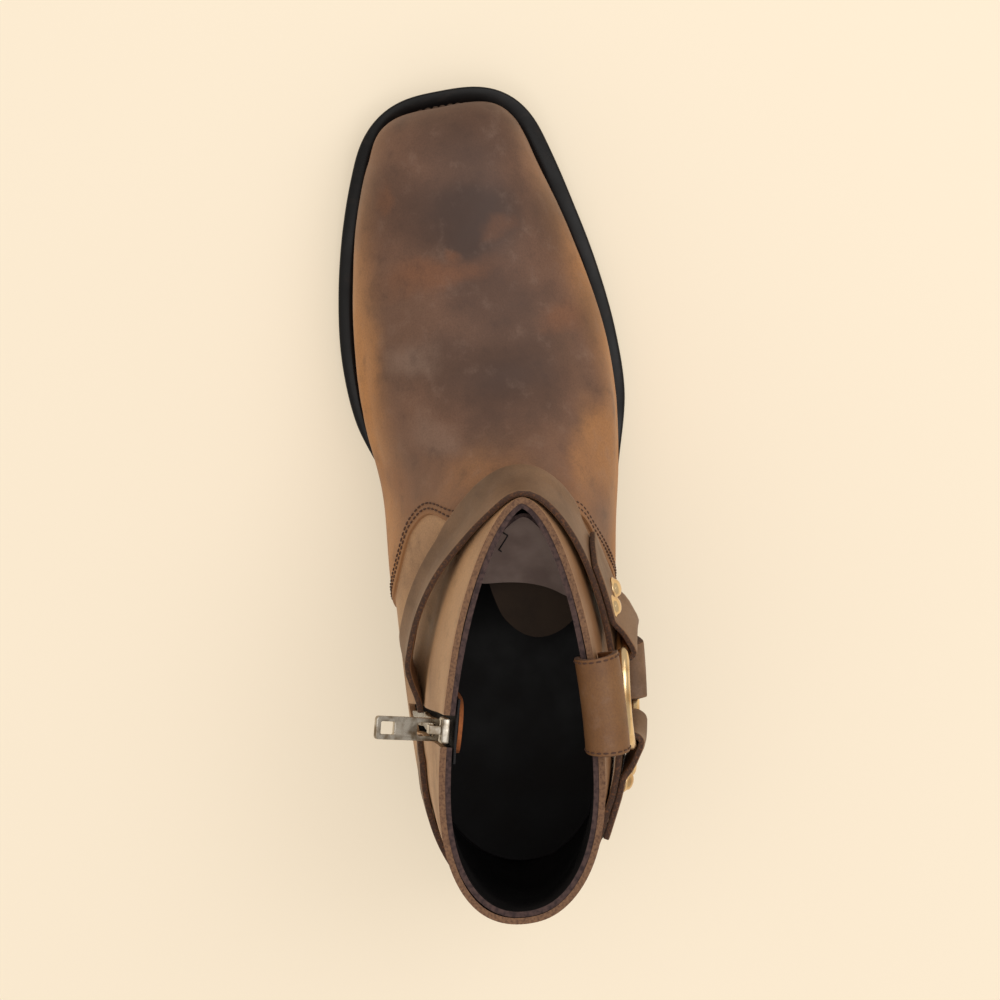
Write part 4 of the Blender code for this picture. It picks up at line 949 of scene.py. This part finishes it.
hide, quarter_shade, rough, relief = leather_finish(
    "oiled_leather", HIDE_SHADES["grey"], paint(164, 127, 95))
girth, length = (hide.add("SeparateXYZ", {"Vector": hide.coords["UV"]}, output=n) for n in (0, 1))
outer_side = hide.math("MULTIPLY", hide.curve(girth, 0.38, 0.52, 0.8, 0.0), hide.curve(girth, 0.0, 0.16))
quarter_shade = hide.mix(outer_side, quarter_shade, paint(122, 82, 50))
vamp_clouds = hide.noise(30, 5.0)
vamp_shade = hide.mix(hide.curve(vamp_clouds, 0.4, 0.66), HIDE_SHADES["brown"], paint(110, 80, 63))
off_ridge = hide.math("ABSOLUTE", hide.math("SUBTRACT", girth, 0.5))
# Tan flanks: partly the oiled leather's own pull-up tan, partly painted light that brightens the steep sides
# of the vamp
flank_tan_and_light = hide.math("MULTIPLY", hide.curve(off_ridge, 0.2, 0.36), hide.curve(length, 0.2, 0.36, 0.25, 1.0))
vamp_shade = hide.mix(flank_tan_and_light, vamp_shade, HIDE_SHADES["tan"])
vamp_shade = hide.mix(hide.curve(off_ridge, 0.34, 0.46, 0.0, 0.6), vamp_shade, HIDE_SHADES["brown"])
drift = hide.add("TexNoise", {"Vector": hide.coords["Object"], "Scale": 38.0, "Detail": 5.0}, output=1)
warped = hide.add("VectorMath", {0: drift, 1: (0.028, 0.028, 0), 2: hide.coords["Object"]},
                  operation="MULTIPLY_ADD")
for x, y, along, across, shade, weight in PATCHES:
    middle = in_frame((x + 14, y + 14, 0))
    size = (1 / (along * MM), 1 / (across * MM), 0)
    spread = hide.add("Mapping", {"Vector": warped, "Scale": size,
                                  "Location": (-middle.x * size[0], -middle.y * size[1], 0)})
    blot = hide.add("TexGradient", {"Vector": spread}, output=1, gradient_type="SPHERICAL")
    vamp_shade = hide.mix(hide.curve(blot, 0.0, 0.8, 0.0, weight), vamp_shade, HIDE_SHADES[shade])
vamp_shade, _ = mottled(hide, vamp_shade, 120, 0.62, 0.4, 0.25)
shade = hide.mix(hide.add("Attribute", {}, output=2, attribute_name="vamp"), quarter_shade, vamp_shade)
edge_glow = hide.math("MULTIPLY", hide.add("Attribute", {}, output=2, attribute_name="trim"), 0.75)
shade = hide.mix(edge_glow, shade, paint(150, 104, 64))
specks = hide.add("TexVoronoi", {"Vector": hide.coords["Object"], "Scale": 150.0, "Randomness": 1.0})
rare = hide.curve(hide.noise(55, 1.0), 0.62, 0.66)
dots = hide.math("MULTIPLY", hide.curve(specks, 0.03, 0.07, 1.0, 0.0), rare)
shade = hide.mix(hide.math("MULTIPLY", dots, 0.7), shade, paint(190, 178, 164))
UPPER_LEATHER = hide.wear(shade, rough, relief)


def raw_edge(name, roughness, scale, span, first, second, relief):
    """A fibrous cut edge in two shades, with its fibres raised."""
    raw = Finish(name, roughness=roughness)
    fibres = raw.noise(scale, 5.0)
    share = raw.curve(fibres, *span) if span else fibres
    return raw.wear(raw.mix(share, first, second), None, raw.bump(fibres, *relief))


CUT_EDGE = raw_edge("cut_edge", 0.85, 1100, (0.35, 0.75),
                    paint(124, 90, 64), paint(86, 58, 42), (0.5, 0.4))
UPPER_THREAD = thread_finish("brown_thread", paint(86, 54, 38))
fit(upper, [UPPER_LEATHER, BLACK_LINING, CUT_EDGE], "upper_leather", "upper")
modify(upper, "SOLIDIFY", thickness=LEATHER_THICK * MM, offset=-1.0,
       material_offset=1, material_offset_rim=2)
smooth(upper, 40.0)


def vamp_line(inward):
    """A line that follows the vamp's rear edge at a distance from it, just above the leather."""
    line = []
    for share in np.linspace(-0.97, 0.97, 700):
        edge = vamp_edge(share)
        line.append(skin.place(edge - inward / skin.span(edge, share), share, VAMP_STEP + STITCH_RISE))
    return line


sew("vamp_stitches", [vamp_line(2.2), vamp_line(4.4)], 2.5, UPPER_THREAD, skin.outward, 0.75)

# Lining
# A second layer of dark leather inside the shaft. Its fuzzy cut edge shows beside the upper's at the
# collar, and in front a slack paler panel and a rounded flap hang in behind the instep.
LINING_THICK = 1.9
LINING_FROM = 9.0
LINING_LIFT = -LEATHER_THICK - 0.1


def lining_place(across, along):
    share = 2 * across - 1
    section = LINING_FROM + (LAST_SECTION - LINING_FROM) * along
    drop = 0.4 * smooth_step((along - 0.95) / 0.05)
    place = skin.place(section, share, LINING_LIFT)
    return place - np.array((0, 0, drop))


lining = new_grid("shaft_lining", 160, 90, lining_place)
face_outward(lining)
LINING_EDGE = raw_edge("lining_edge", 0.95, 600, (0.35, 0.7),
                       paint(78, 58, 54), paint(48, 34, 34), (0.6, 0.5))
fit(lining, [BLACK_LINING, LINING_EDGE], "lining")
modify(lining, "SOLIDIFY", thickness=LINING_THICK * MM, offset=-1.0, material_offset_rim=1)
smooth(lining, 40.0)

# Rows of the slack panel from the collar down and of the flap below it: x, y and z across each row
PANEL_ROWS = (
    ((152.0, 3.5, 128.0), (158.0, -4.0, 132.0), (161.0, -14.5, 134.0),
     (157.5, -24.0, 131.0), (150.5, -30.5, 127.0)),
    ((147.0, 4.5, 122.0), (152.0, -4.0, 124.0), (154.0, -14.5, 125.0),
     (151.0, -24.0, 123.0), (142.0, -31.0, 119.0)),
    ((139.5, 6.0, 114.0), (142.0, -3.6, 114.0), (142.5, -14.5, 114.0),
     (139.0, -24.0, 113.0), (130.0, -31.5, 110.0)),
    ((129.5, 7.0, 105.5), (129.8, -3.4, 105.0), (128.2, -14.4, 105.0),
     (124.6, -23.0, 104.0), (117.0, -31.5, 101.0)))
FLAP_ROWS = (
    ((140.0, 2.0, 103.0), (141.0, -6.0, 104.0), (141.0, -14.5, 104.0),
     (138.0, -23.0, 103.0), (132.0, -31.0, 101.0)),
    ((127.0, 0.8, 96.0), (127.0, -6.0, 96.0), (127.0, -14.5, 96.0),
     (125.0, -23.0, 96.0), (121.0, -31.5, 95.0)),
    ((116.5, -1.6, 92.0), (115.0, -6.5, 91.0), (114.0, -14.5, 91.0),
     (114.0, -23.0, 91.0), (115.0, -30.8, 92.0)),
    ((113.0, -3.2, 90.5), (107.2, -7.5, 88.5), (103.4, -14.5, 88.0),
     (105.6, -23.2, 88.5), (110.8, -29.6, 90.5)))
SLACK_THICK = 1.4
SLACK_DEPTH = LEATHER_THICK + LINING_THICK + 1.4


def new_slack(name, rows, finishes, depth=SLACK_DEPTH):
    """A soft hanging piece of lining: a coarse cage, rounded by subdivision and given its thickness."""
    across, along = len(rows[0]) - 1, len(rows) - 1

    def place(a, b):
        spot = Vector(rows[along - round(b * along)][round(a * across)])
        near, face = skin.tree.find_nearest(spot)[:2]
        short = depth - (near - spot).dot(face)
        return spot - face * max(short, 0.0)
    piece = new_grid(name, across, along, place)
    modify(piece, "SUBSURF", levels=4, render_levels=4)
    fit(piece, finishes, "lining")
    modify(piece, "SOLIDIFY", thickness=SLACK_THICK * MM, offset=0.0, material_offset_rim=1)
    smooth(piece, 40.0)
    return piece


def piece_tree(piece):
    """A piece's faces, ready to be searched."""
    return BVHTree.FromPolygons([vert.co for vert in piece.data.vertices],
                                [face.vertices for face in piece.data.polygons])


def slack_finish(name, roughness, first, second):
    slack = Finish(name, roughness=roughness)
    cloud = slack.noise(70, 4.0)
    return slack.wear(slack.mix(slack.curve(cloud, 0.35, 0.7), first, second), None,
                      slack.bump(slack.noise(1200, 4.0), 0.3, 0.2))


SLACK_LINING = slack_finish("slack_lining", 0.8, paint(146, 125, 116), paint(122, 101, 93))
FLAP_LINING = slack_finish("flap_lining", 0.85, paint(60, 44, 31), paint(48, 34, 24))
panel = new_slack("slack_panel", PANEL_ROWS, [SLACK_LINING, LINING_EDGE])
new_slack("front_flap", FLAP_ROWS, [FLAP_LINING, LINING_EDGE])
panel_tree = piece_tree(panel)
thread_end = []
for x, y in ((153.0, -8.5), (150.5, -7.0), (148.5, -8.6), (146.0, -7.0), (143.0, -4.8), (142.0, -5.6)):
    over = in_frame((x, y, 200.0))
    drop = panel_tree.ray_cast(over, Vector((0, 0, -1)))[3] / MM
    thread_end.append((x, y, 200.4 - drop))
sew("loose_thread", [thread_end], 0.6, BLACK_THREAD, lambda spot: Vector((0, 0, 1)), 0.5, 2.2)

# Harness
# Three straps of thick greyer leather that loop through one polished ring on the outer side of the ankle.
# Two go round the shaft to the zip and are riveted on themselves, and the third is sewn down to the sole.
STRAP_WIDTH = 25.0
ARCH_WIDTH = 33.0
ARCH_CLEAR = 0.4
LOOP_WIDTH = 22.0
ARCH_LOOP_WIDTH = 22.0
STRAP_THICK = 2.3
STRAP_GAP = 0.15
STAND_OFF = 2.4
INNER_SLACK = 4.5
FRONT_LEAN = 4.5
LEAN_RAISE = 0.6
APEX_Y = -12.0
APEX_REACH = 26.0
HELD_LENGTH = 24.0
INNER_FROM_Y = 2.0
INNER_REACH = 22.0
STRAP_CELLS = 16
LAYER_GAP = 0.3
RING_X = 85.0
RING_Z = 92.0
RING_RADIUS = 23.0
WIRE_RADIUS = 2.3
LOOP_INNER = 3.1
LOOP_CLEAR = 5.0
LOOP_COUNT = 17
INSTEP_SLOPE = 0.45
INSTEP_TILT = 0.23
INSTEP_ANGLES = (-75.2, 100.5)
HEEL_STRAP_SLOPE = 0.205
HEEL_STRAP_ANGLES = (-125, -238)
TILT_FROM = -42.0
BELT_COUNT = 130
SHAFT_AXIS = (92.0, -6.0)
FOLD_LENGTH = 33.0
RISE_LENGTH = 28.0
CLOSE_LENGTH = 9.0
RIVET_REACH = 14.0
RIVET_SPREAD = 5.6
RIVET_RADIUS = 4.2
RIVET_HEIGHT = 2.6
RIVET_SEAT = 0.1
RIVET_DOME = 0.8
RIVET_FLANGE = 0.6
CAD_STRAP_GAP = 0.9


def across_shares(count):
    return np.linspace(-0.5, 0.5, count + 1)


class Harness:
    """The ring on the outer side of the ankle, and the straps that loop round it."""

    def __init__(self):
        spot, normal = skin.ray((RING_X, SHAFT_AXIS[1], RING_Z), (0, -1, 0))
        self.out = Vector(normal)
        reach = CAD_STRAP_GAP + STRAP_THICK + LOOP_INNER
        lift = 0.0
        for direction in ((1, 0, INSTEP_SLOPE), (-1, 0, -HEEL_STRAP_SLOPE), (0, 0, -1)):
            wire = spot + self.in_plane(direction) * RING_RADIUS
            near, face = skin.tree.find_nearest(wire)[:2]
            lift = max(lift, reach - (wire - near).dot(face))
        self.centre = spot + self.out * lift

    def in_plane(self, direction):
        direction = Vector(direction)
        return (direction - self.out * direction.dot(self.out)).normalized()

    def belt(self, angles, slope, tilt):
        """Where rays in a strap's tilted plane leave the shaft."""
        x, y = SHAFT_AXIS
        start = (x, y, RING_Z + slope * (x - RING_X) - tilt * (y - TILT_FROM))
        places = []
        for turn in np.radians(np.linspace(angles[0], angles[1], BELT_COUNT)):
            rise = slope * math.cos(turn) - tilt * math.sin(turn)
            places.append(skin.ray(start, (math.cos(turn), math.sin(turn), rise))[0])
        return places

    def strap(self, path, width, loop_width, slack=0.0, lean=0.0):
        """Rows of a strap along a path to the ring, round its wire and back over itself."""
        heading = self.in_plane(path[0] - self.centre)
        side = self.out.cross(heading)
        wire = self.centre + heading * RING_RADIUS
        middle = LOOP_INNER + STRAP_THICK / 2
        low = STRAP_GAP + STRAP_THICK / 2
        under = wire - self.out * middle
        near, face = skin.tree.find_nearest(under)[:2]
        ring_low = max(low, (under - near).dot(face))
        path = path[next(n for n, spot in enumerate(path) if (spot - wire).dot(heading) > LOOP_CLEAR):]
        rows = []
        folds = []
        for number, spot in enumerate(path):
            ahead = path[min(number + 1, len(path) - 1)] - path[max(number - 1, 0)]
            over = skin.outward(spot).cross(ahead).normalized()
            if over.dot(side) < 0:
                over = -over
            away = (spot - wire).length - LOOP_CLEAR
            wide = loop_width + (width - loop_width) * smooth_step(away / RISE_LENGTH)
            lift = low + (ring_low - low) * smooth_step(1 - away / RISE_LENGTH)
            free = smooth_step(away / RISE_LENGTH)
            front = free * (1 - smooth_step(abs(spot[1] - APEX_Y) / APEX_REACH)) * lean
            held = smooth_step((path[-1] - spot).length / HELD_LENGTH)
            lift += slack * smooth_step((spot[1] - INNER_FROM_Y) / INNER_REACH) * held
            loose = min(slack, STAND_OFF) * free * held * (1 - front / max(lean, 1.0))
            spread = []
            for c in across_shares(STRAP_CELLS):
                high = c + 0.5 if over.z > 0 else 0.5 - c
                apart = loose * (abs(over.z) * high) ** 1.5
                up = math.copysign(LEAN_RAISE * front, over.z)
                spread.append((c * wide + up, lift + apart + front * (1 - high)))
            rows.append([skin.nearest(spot + over * c, rise) for c, rise in spread])
            if away <= FOLD_LENGTH:
                flat = STRAP_THICK + LAYER_GAP
                gap = flat + (2 * middle - flat) * smooth_step(1 - away / CLOSE_LENGTH)
                folds.append([skin.nearest(spot + over * c, rise + gap) for c, rise in spread])
        loop = []
        for turn in np.linspace(0, math.pi, LOOP_COUNT):
            row = []
            for c in across_shares(STRAP_CELLS) * loop_width:
                curve = math.sqrt(RING_RADIUS ** 2 - c * c)
                middle_wire = self.centre + heading * curve + side * c
                bend = self.out * math.cos(turn) + heading * math.sin(turn)
                row.append(middle_wire - bend * middle)
            loop.append(row)
        return rows[::-1] + loop + folds, folds

    def rivet_spots(self, folds):
        """Two places across the folded end of a strap, with the way out of it."""
        reach = RING_RADIUS + RIVET_REACH
        middles = [row[STRAP_CELLS // 2] for row in folds]
        nearest = min(range(1, len(folds) - 1), key=lambda n: abs((middles[n] - self.centre).length - reach))
        middle = middles[nearest]
        over = (folds[nearest][-1] - folds[nearest][0]).normalized()
        out = over.cross(middles[nearest + 1] - middles[nearest - 1]).normalized()
        if out.dot(skin.outward(middle)) < 0:
            out = -out
        top = middle + out * (STRAP_THICK / 2 + RIVET_SEAT)
        return [(top + over * side * RIVET_SPREAD, out) for side in (-1, 1)]


def new_band(name, stations, thickness, finishes, slot, node):
    """A strap: each station is a row of places across the middle of its thickness."""
    last = len(stations) - 1
    across = len(stations[0]) - 1

    def place(side, along):
        return stations[round(along * last)][round(side * across)]
    strap = new_grid(name, across, last, place)
    modify(strap, "SMOOTH", factor=0.5, iterations=4)
    fit(strap, finishes, slot, node)
    modify(strap, "SOLIDIFY", thickness=thickness * MM, offset=0.0, material_offset_rim=1)
    bevel(strap, 0.55, 3, 55.0)
    smooth(strap, 45.0)
    return strap


def along_normal(spot, out, up=Vector((0, 0, 1))):
    """A frame at a place, with its own Z pointing out and its Y as near upright as it can be."""
    side = up.cross(out).normalized()
    turn = Matrix((side, out.cross(side), out)).transposed().to_4x4()
    return Matrix.Translation(in_frame(spot)) @ turn


harness = Harness()
strap_hide, strap_shade, strap_rough, strap_relief = leather_finish(
    "strap_leather", paint(130, 98, 71), paint(100, 76, 57))
strap_across = strap_hide.add("SeparateXYZ", {"Vector": strap_hide.coords["UV"]}, output=0)
strap_edge = strap_hide.math("ABSOLUTE", strap_hide.math("SUBTRACT", strap_across, 0.5))
strap_rub = strap_hide.curve(strap_edge, 0.42, 0.5, 0.0, 0.45)
strap_shade = strap_hide.mix(strap_rub, strap_shade, paint(140, 102, 70))
STRAP_LEATHER = strap_hide.wear(strap_shade, strap_rough, strap_relief)
STRAP_EDGE = raw_edge("strap_edge", 0.8, 1100, (0.45, 0.75),
                      paint(66, 44, 32), paint(112, 72, 44), (0.5, 0.4))
gilt = Finish("gilt_metal", metallic=1.0)
tarnish = gilt.noise(130, 4.0)
GILT = gilt.wear(gilt.mix(gilt.curve(tarnish, 0.45, 0.75), paint(226, 196, 150), paint(190, 152, 104)),
                 gilt.curve(tarnish, 0.35, 0.75, 0.14, 0.32))

rivet_number = 1
for node, path, slack, lean in (
        ("instep_strap", harness.belt(INSTEP_ANGLES, INSTEP_SLOPE, INSTEP_TILT), INNER_SLACK, FRONT_LEAN),
        ("heel_strap", harness.belt(HEEL_STRAP_ANGLES, HEEL_STRAP_SLOPE, 0.0), 0.0, 0.0)):
    rows, folds = harness.strap(path, STRAP_WIDTH, LOOP_WIDTH, slack, lean)
    new_band(node + "_leather", rows, STRAP_THICK, [STRAP_LEATHER, STRAP_EDGE], "strap_leather", node)
    for spot, out in harness.rivet_spots(folds):
        rivet = new_piece(bpy.ops.mesh.primitive_uv_sphere_add, f"dome_rivet_{rivet_number}", segments=32,
                          ring_count=24, radius=RIVET_RADIUS * MM)
        for vert in rivet.data.vertices:
            share = math.hypot(vert.co.x, vert.co.y) / (RIVET_RADIUS * MM)
            dome = math.sqrt(max(0.0, 1 - (share / RIVET_DOME) ** 2)) * (RIVET_HEIGHT - RIVET_FLANGE)
            rim = RIVET_FLANGE * math.sqrt(max(0.0, 1 - max(0.0, share - RIVET_DOME) / (1 - RIVET_DOME)))
            vert.co.z = (dome + rim) * MM if vert.co.z > 0 else -0.3 * MM
        rivet.data.transform(along_normal(spot, out))
        bpy.ops.object.shade_smooth()
        fit(rivet, [GILT], "gilt_metal", f"strap_rivet_{rivet_number}")
        rivet_number += 1
foot_z = float(upper_edge(RING_X)) + ARCH_CLEAR
heights = np.linspace(RING_Z - RING_RADIUS - LOOP_CLEAR, foot_z, 36)
arch_path = [skin.ray((RING_X, SHAFT_AXIS[1], z), (0, -1, 0))[0] for z in heights]
arch_rows, arch_folds = harness.strap(arch_path, ARCH_WIDTH, ARCH_LOOP_WIDTH)
new_band("arch_strap_leather", arch_rows, STRAP_THICK, [STRAP_LEATHER, STRAP_EDGE],
         "strap_leather", "arch_strap")
arch_seam = [place + skin.outward(place) * (STRAP_THICK / 2 + STITCH_RISE) for place in arch_folds[-2][1:-1]]
sew("arch_stitches", [arch_seam], 2.5, UPPER_THREAD, skin.outward, 0.75)
ring = new_piece(bpy.ops.mesh.primitive_torus_add, "polished_ring", major_segments=120, minor_segments=32,
                 major_radius=RING_RADIUS * MM, minor_radius=WIRE_RADIUS * MM)
ring.data.transform(along_normal(harness.centre, harness.out))
bpy.ops.object.shade_smooth()
fit(ring, [GILT], "gilt_metal", "harness_ring")

# Pull loop
# A short strap of the same leather, folded over the outer edge of the collar and sewn to both faces.
PULL_FROM = 76.0
PULL_TO = 110.0
PULL_THICK = 2.0
PULL_TOP = 8.0
PULL_SWELL = 6.5
PULL_OUTSIDE = 30.0
PULL_INSIDE = 24.0
PULL_PER_SECTION = 24.0
PULL_CELLS = 20
PULL_GAP = 0.4
collar_shares = np.linspace(-1, 0, 401)
collar_xs = np.array([skin.place(LAST_SECTION, share)[0] for share in collar_shares])
pull_span = [float(np.interp(x, collar_xs, collar_shares))
             for x in np.linspace(PULL_FROM, PULL_TO, PULL_CELLS + 1)]
pull_out = PULL_GAP + PULL_THICK / 2
pull_in = -LEATHER_THICK - LINING_THICK - PULL_GAP - PULL_THICK / 2
pull_rows = []
for drop in np.linspace(PULL_OUTSIDE, 0, 30)[:-1]:
    section = LAST_SECTION - drop / PULL_PER_SECTION
    lift = pull_out + PULL_SWELL * smooth_step(1 - drop / PULL_OUTSIDE)
    pull_rows.append([skin.place(section, share, lift) for share in pull_span])
pull_reach = pull_out + PULL_SWELL
for turn in np.linspace(0, math.pi, 25):
    lift = (pull_reach + pull_in) / 2 + (pull_reach - pull_in) / 2 * math.cos(turn)
    rise = np.array((0, 0, PULL_TOP * math.sin(turn)))
    pull_rows.append([skin.place(LAST_SECTION, share, lift) + rise for share in pull_span])
for drop in np.linspace(0, PULL_INSIDE, 20)[1:]:
    section = LAST_SECTION - drop / PULL_PER_SECTION
    pull_rows.append([skin.place(section, share, pull_in) for share in pull_span])
loop_hide, loop_shade, loop_rough, loop_relief = leather_finish(
    "loop_leather", paint(116, 77, 44), paint(136, 98, 62))
LOOP_LEATHER = loop_hide.wear(loop_shade, loop_rough, loop_relief)
pull_loop = new_band("pull_loop_leather", pull_rows, PULL_THICK, [LOOP_LEATHER, STRAP_EDGE],
                     "strap_leather", "pull_loop")
pull_tree = piece_tree(pull_loop)


def on_pull_loop(row, column):
    """A place on the loop's outer face beside one of its rows."""
    middle = Vector(pull_rows[row][column])
    heading = Vector(pull_rows[row + 1][column] - pull_rows[row - 1][column])
    out = Vector(pull_rows[row][-1] - pull_rows[row][0]).cross(heading).normalized()
    return middle + out * (PULL_THICK / 2 + STITCH_RISE)


pull_seams = [[on_pull_loop(row, column) for row in range(2, 60)] for column in (1, PULL_CELLS - 1)]
sew("pull_loop_stitches", pull_seams, 2.6, UPPER_THREAD,
    lambda spot: pull_tree.find_nearest(in_frame(spot))[1], 0.7)

# Zip
# A metal zip on the inner side: two woven tapes behind a slot in the wall, a row of teeth, and a cast
# slider at the collar with a stamped tab that swings on its bridge. A leather guard lies inside it.
ZIP_TOP_X = 90.0
ZIP_TOP_Z = 160.0
ZIP_RAKE = -0.17
ZIP_BOTTOM_Z = 58.0
CHAIN_TOP_Z = 145.0
ZIP_RAY_FROM = 120.0
SLOT_WIDTH = 11.0
SLOT_DEPTH = 22.0
SLOT_OVERRUN = 8.0
TAPE_WIDTH = 24.0
TAPE_THICK = 0.9
TOOTH_PITCH = 2.0
TOOTH_SIZE = (3.4, 1.1, 2.0)


class ZipLine:
    """The slanted line of the zip down the inner side of the shaft."""

    def __init__(self):
        self.top = ZIP_TOP_Z
        while self.hit(self.top)[0] is None:
            self.top -= 0.5

    def hit(self, z):
        x = ZIP_TOP_X + (ZIP_TOP_Z - z) * ZIP_RAKE
        return skin.ray((x, ZIP_RAY_FROM, z), (0, -1, 0))

    def place(self, z):
        """A place on the line with the ways out of the leather and up the zip."""
        spot, out = self.hit(min(z, self.top))
        below = self.hit(min(z, self.top) - 4.0)[0]
        rise = (spot - below).normalized()
        if z > self.top:
            spot = spot + rise * (z - self.top)
        out = (out - rise * out.dot(rise)).normalized()
        return spot, out, rise

    def rows(self, low, high, count, width, depth, cells=2):
        rows = []
        for z in np.linspace(low, high, count):
            spot, out, rise = self.place(z)
            side = rise.cross(out)
            rows.append([spot + side * width * c + out * depth for c in across_shares(cells)])
        return rows


# Rows of the guard from the collar down: x, y and z across each row
GUARD_ROWS = (
    ((99.0, 19.0, 149.0), (94.0, 16.5, 155.0), (86.0, 16.5, 156.0), (79.0, 19.0, 152.0)),
    ((98.5, 19.0, 140.0), (93.0, 18.0, 142.0), (85.0, 18.0, 142.0), (78.0, 19.0, 140.0)),
    ((97.0, 20.0, 118.0), (91.0, 19.0, 118.0), (84.0, 19.0, 118.0), (78.0, 20.0, 118.0)))
GUARD_DEPTH = 6.7
GUARD_EDGE = raw_edge("guard_edge", 0.9, 900, None,
                      paint(170, 96, 44), paint(104, 56, 28), (0.6, 0.4))
new_slack("zip_guard", GUARD_ROWS, [FLAP_LINING, GUARD_EDGE], GUARD_DEPTH)

zip_line = ZipLine()
slot_rows = zip_line.rows(ZIP_BOTTOM_Z - 1.0, zip_line.top + SLOT_OVERRUN, 40, SLOT_WIDTH, -WALL / 2)
slot = new_grid("zip_slot", 2, 39, lambda side, along: slot_rows[round(along * 39)][round(side * 2)])
modify(slot, "SOLIDIFY", thickness=SLOT_DEPTH * MM, offset=0.0)
for wall in (upper, lining):
    modify(wall, "BOOLEAN", operation="DIFFERENCE", object=slot, solver="EXACT")
bpy.data.objects.remove(slot)

weave = Finish("zip_tape", roughness=0.9)
threads = weave.ribs(500.0, 0.5)
TAPE = weave.wear(weave.mix(threads, paint(22, 20, 22), paint(36, 33, 34)), None,
                  weave.bump(threads, 0.4, 0.3))
tape_rows = []
for z in np.linspace(ZIP_BOTTOM_Z - 4.0, zip_line.top - 1.0, 60):
    spot, out, rise = zip_line.place(z)
    side = rise.cross(out)
    row = []
    for c in across_shares(16) * TAPE_WIDTH:
        near, face = skin.tree.find_nearest(spot + side * c)[:2]
        row.append(near - face * (LEATHER_THICK + LINING_THICK + 0.8 + TAPE_THICK / 2))
    tape_rows.append(row)
new_band("woven_tape", tape_rows, TAPE_THICK, [TAPE], "zip_tape", "zip_tape")

steel = Finish("aged_steel", metallic=1.0)
patina = steel.noise(260, 5.0)
ZIP_STEEL = steel.wear(steel.mix(steel.curve(patina, 0.4, 0.7), paint(186, 178, 166), paint(128, 112, 92)),
                       steel.curve(patina, 0.3, 0.7, 0.22, 0.42),
                       steel.bump(steel.noise(900, 3.0), 0.1, 0.1))
teeth = []
for number, z in enumerate(np.arange(ZIP_BOTTOM_Z + 1.5, CHAIN_TOP_Z, TOOTH_PITCH / 2)):
    spot, out, rise = zip_line.place(z)
    hand = 1 if number % 2 else -1
    tooth = new_piece(bpy.ops.mesh.primitive_cube_add, size=MM)
    tooth.data.transform(Matrix.Diagonal((*TOOTH_SIZE, 1.0)))
    place = spot + rise.cross(out) * hand * 1.0 - out * WALL / 2
    tooth.data.transform(along_normal(place, out, rise))
    teeth.append(tooth)
chain = join("zip_teeth", *teeth)
bevel(chain, 0.25, 1)
smooth(chain)
fit(chain, [ZIP_STEEL], "zip_metal", "zip_chain")


def cast_copy(node, name, body):
    """A copy of a small cast solid with its edges rounded off."""
    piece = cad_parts[node].copy()
    piece.data = piece.data.copy()
    piece.name = name
    piece.data.name = name
    piece.parent = None
    bpy.context.scene.collection.objects.link(piece)
    edit_mesh(piece)
    bpy.ops.mesh.remove_doubles(threshold=1e-6)
    bpy.ops.mesh.dissolve_limited(angle_limit=math.radians(2))
    bpy.ops.object.mode_set(mode="OBJECT")
    bevel(piece, 0.22, 2, 40.0)
    smooth(piece, 40.0)
    piece.data.materials.clear()
    piece.data.materials.append(ZIP_STEEL)
    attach(piece, body)
    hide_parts(node)
    return piece


cast_copy("zip_slider", "cast_slider", "boot")
cast_copy("zip_pull_tab", "stamped_tab", "pull_tab")

# Studio
# A plain cream floor that runs out of sight and glows a little, even light all round with lamps above
# and on the outer side, and a camera nearly overhead, beyond the toe, that looks down into the collar.
CAMERA_AT = (305.5, -28.9, 1077.8)
CAMERA_UP = (0.987, -0.117, -0.112)
AIM = (152.0, -6.0, 60.0)
LENS = 99.0
floor = new_piece(bpy.ops.mesh.primitive_plane_add, "floor", size=12.0)
cream = Finish("cream_floor", roughness=0.9, specular_ior_level=0.1, emission_strength=0.45,
               emission_color=paint(255, 236, 206))
cream_cloud = cream.noise(3.0, 3.0)
floor.data.materials.append(cream.wear(cream.mix(cream_cloud, paint(199, 189, 173), paint(196, 186, 170))))
world = bpy.data.worlds.new("studio")
bpy.context.scene.world = world
world.use_nodes = True
world.node_tree.nodes["Background"].inputs["Color"].default_value = paint(255, 250, 242)
world.node_tree.nodes["Background"].inputs["Strength"].default_value = 0.6


def soft_light(name, place, size, power):
    data = bpy.data.lights.new(name, "AREA")
    data.size = size
    data.energy = power
    lamp = bpy.data.objects.new(name, data)
    bpy.context.scene.collection.objects.link(lamp)
    lamp.location = in_frame(place)
    lamp.rotation_euler = (in_frame(AIM) - lamp.location).to_track_quat("-Z", "Y").to_euler()


soft_light("key_light", (250, -100, 1700), 1.6, 8.0)
soft_light("side_light", (560, -760, 1300), 0.9, 5.0)
camera_data = bpy.data.cameras.new("camera")
camera_data.lens = LENS
camera = bpy.data.objects.new("camera", camera_data)
bpy.context.scene.collection.objects.link(camera)
backward = (in_frame(CAMERA_AT) - in_frame(AIM)).normalized()
right = Vector(CAMERA_UP).cross(backward).normalized()
turn = Matrix((right, backward.cross(right), backward)).transposed().to_4x4()
camera.matrix_world = Matrix.Translation(in_frame(CAMERA_AT)) @ turn
bpy.context.scene.camera = camera
bpy.context.scene.view_settings.view_transform = "Standard"
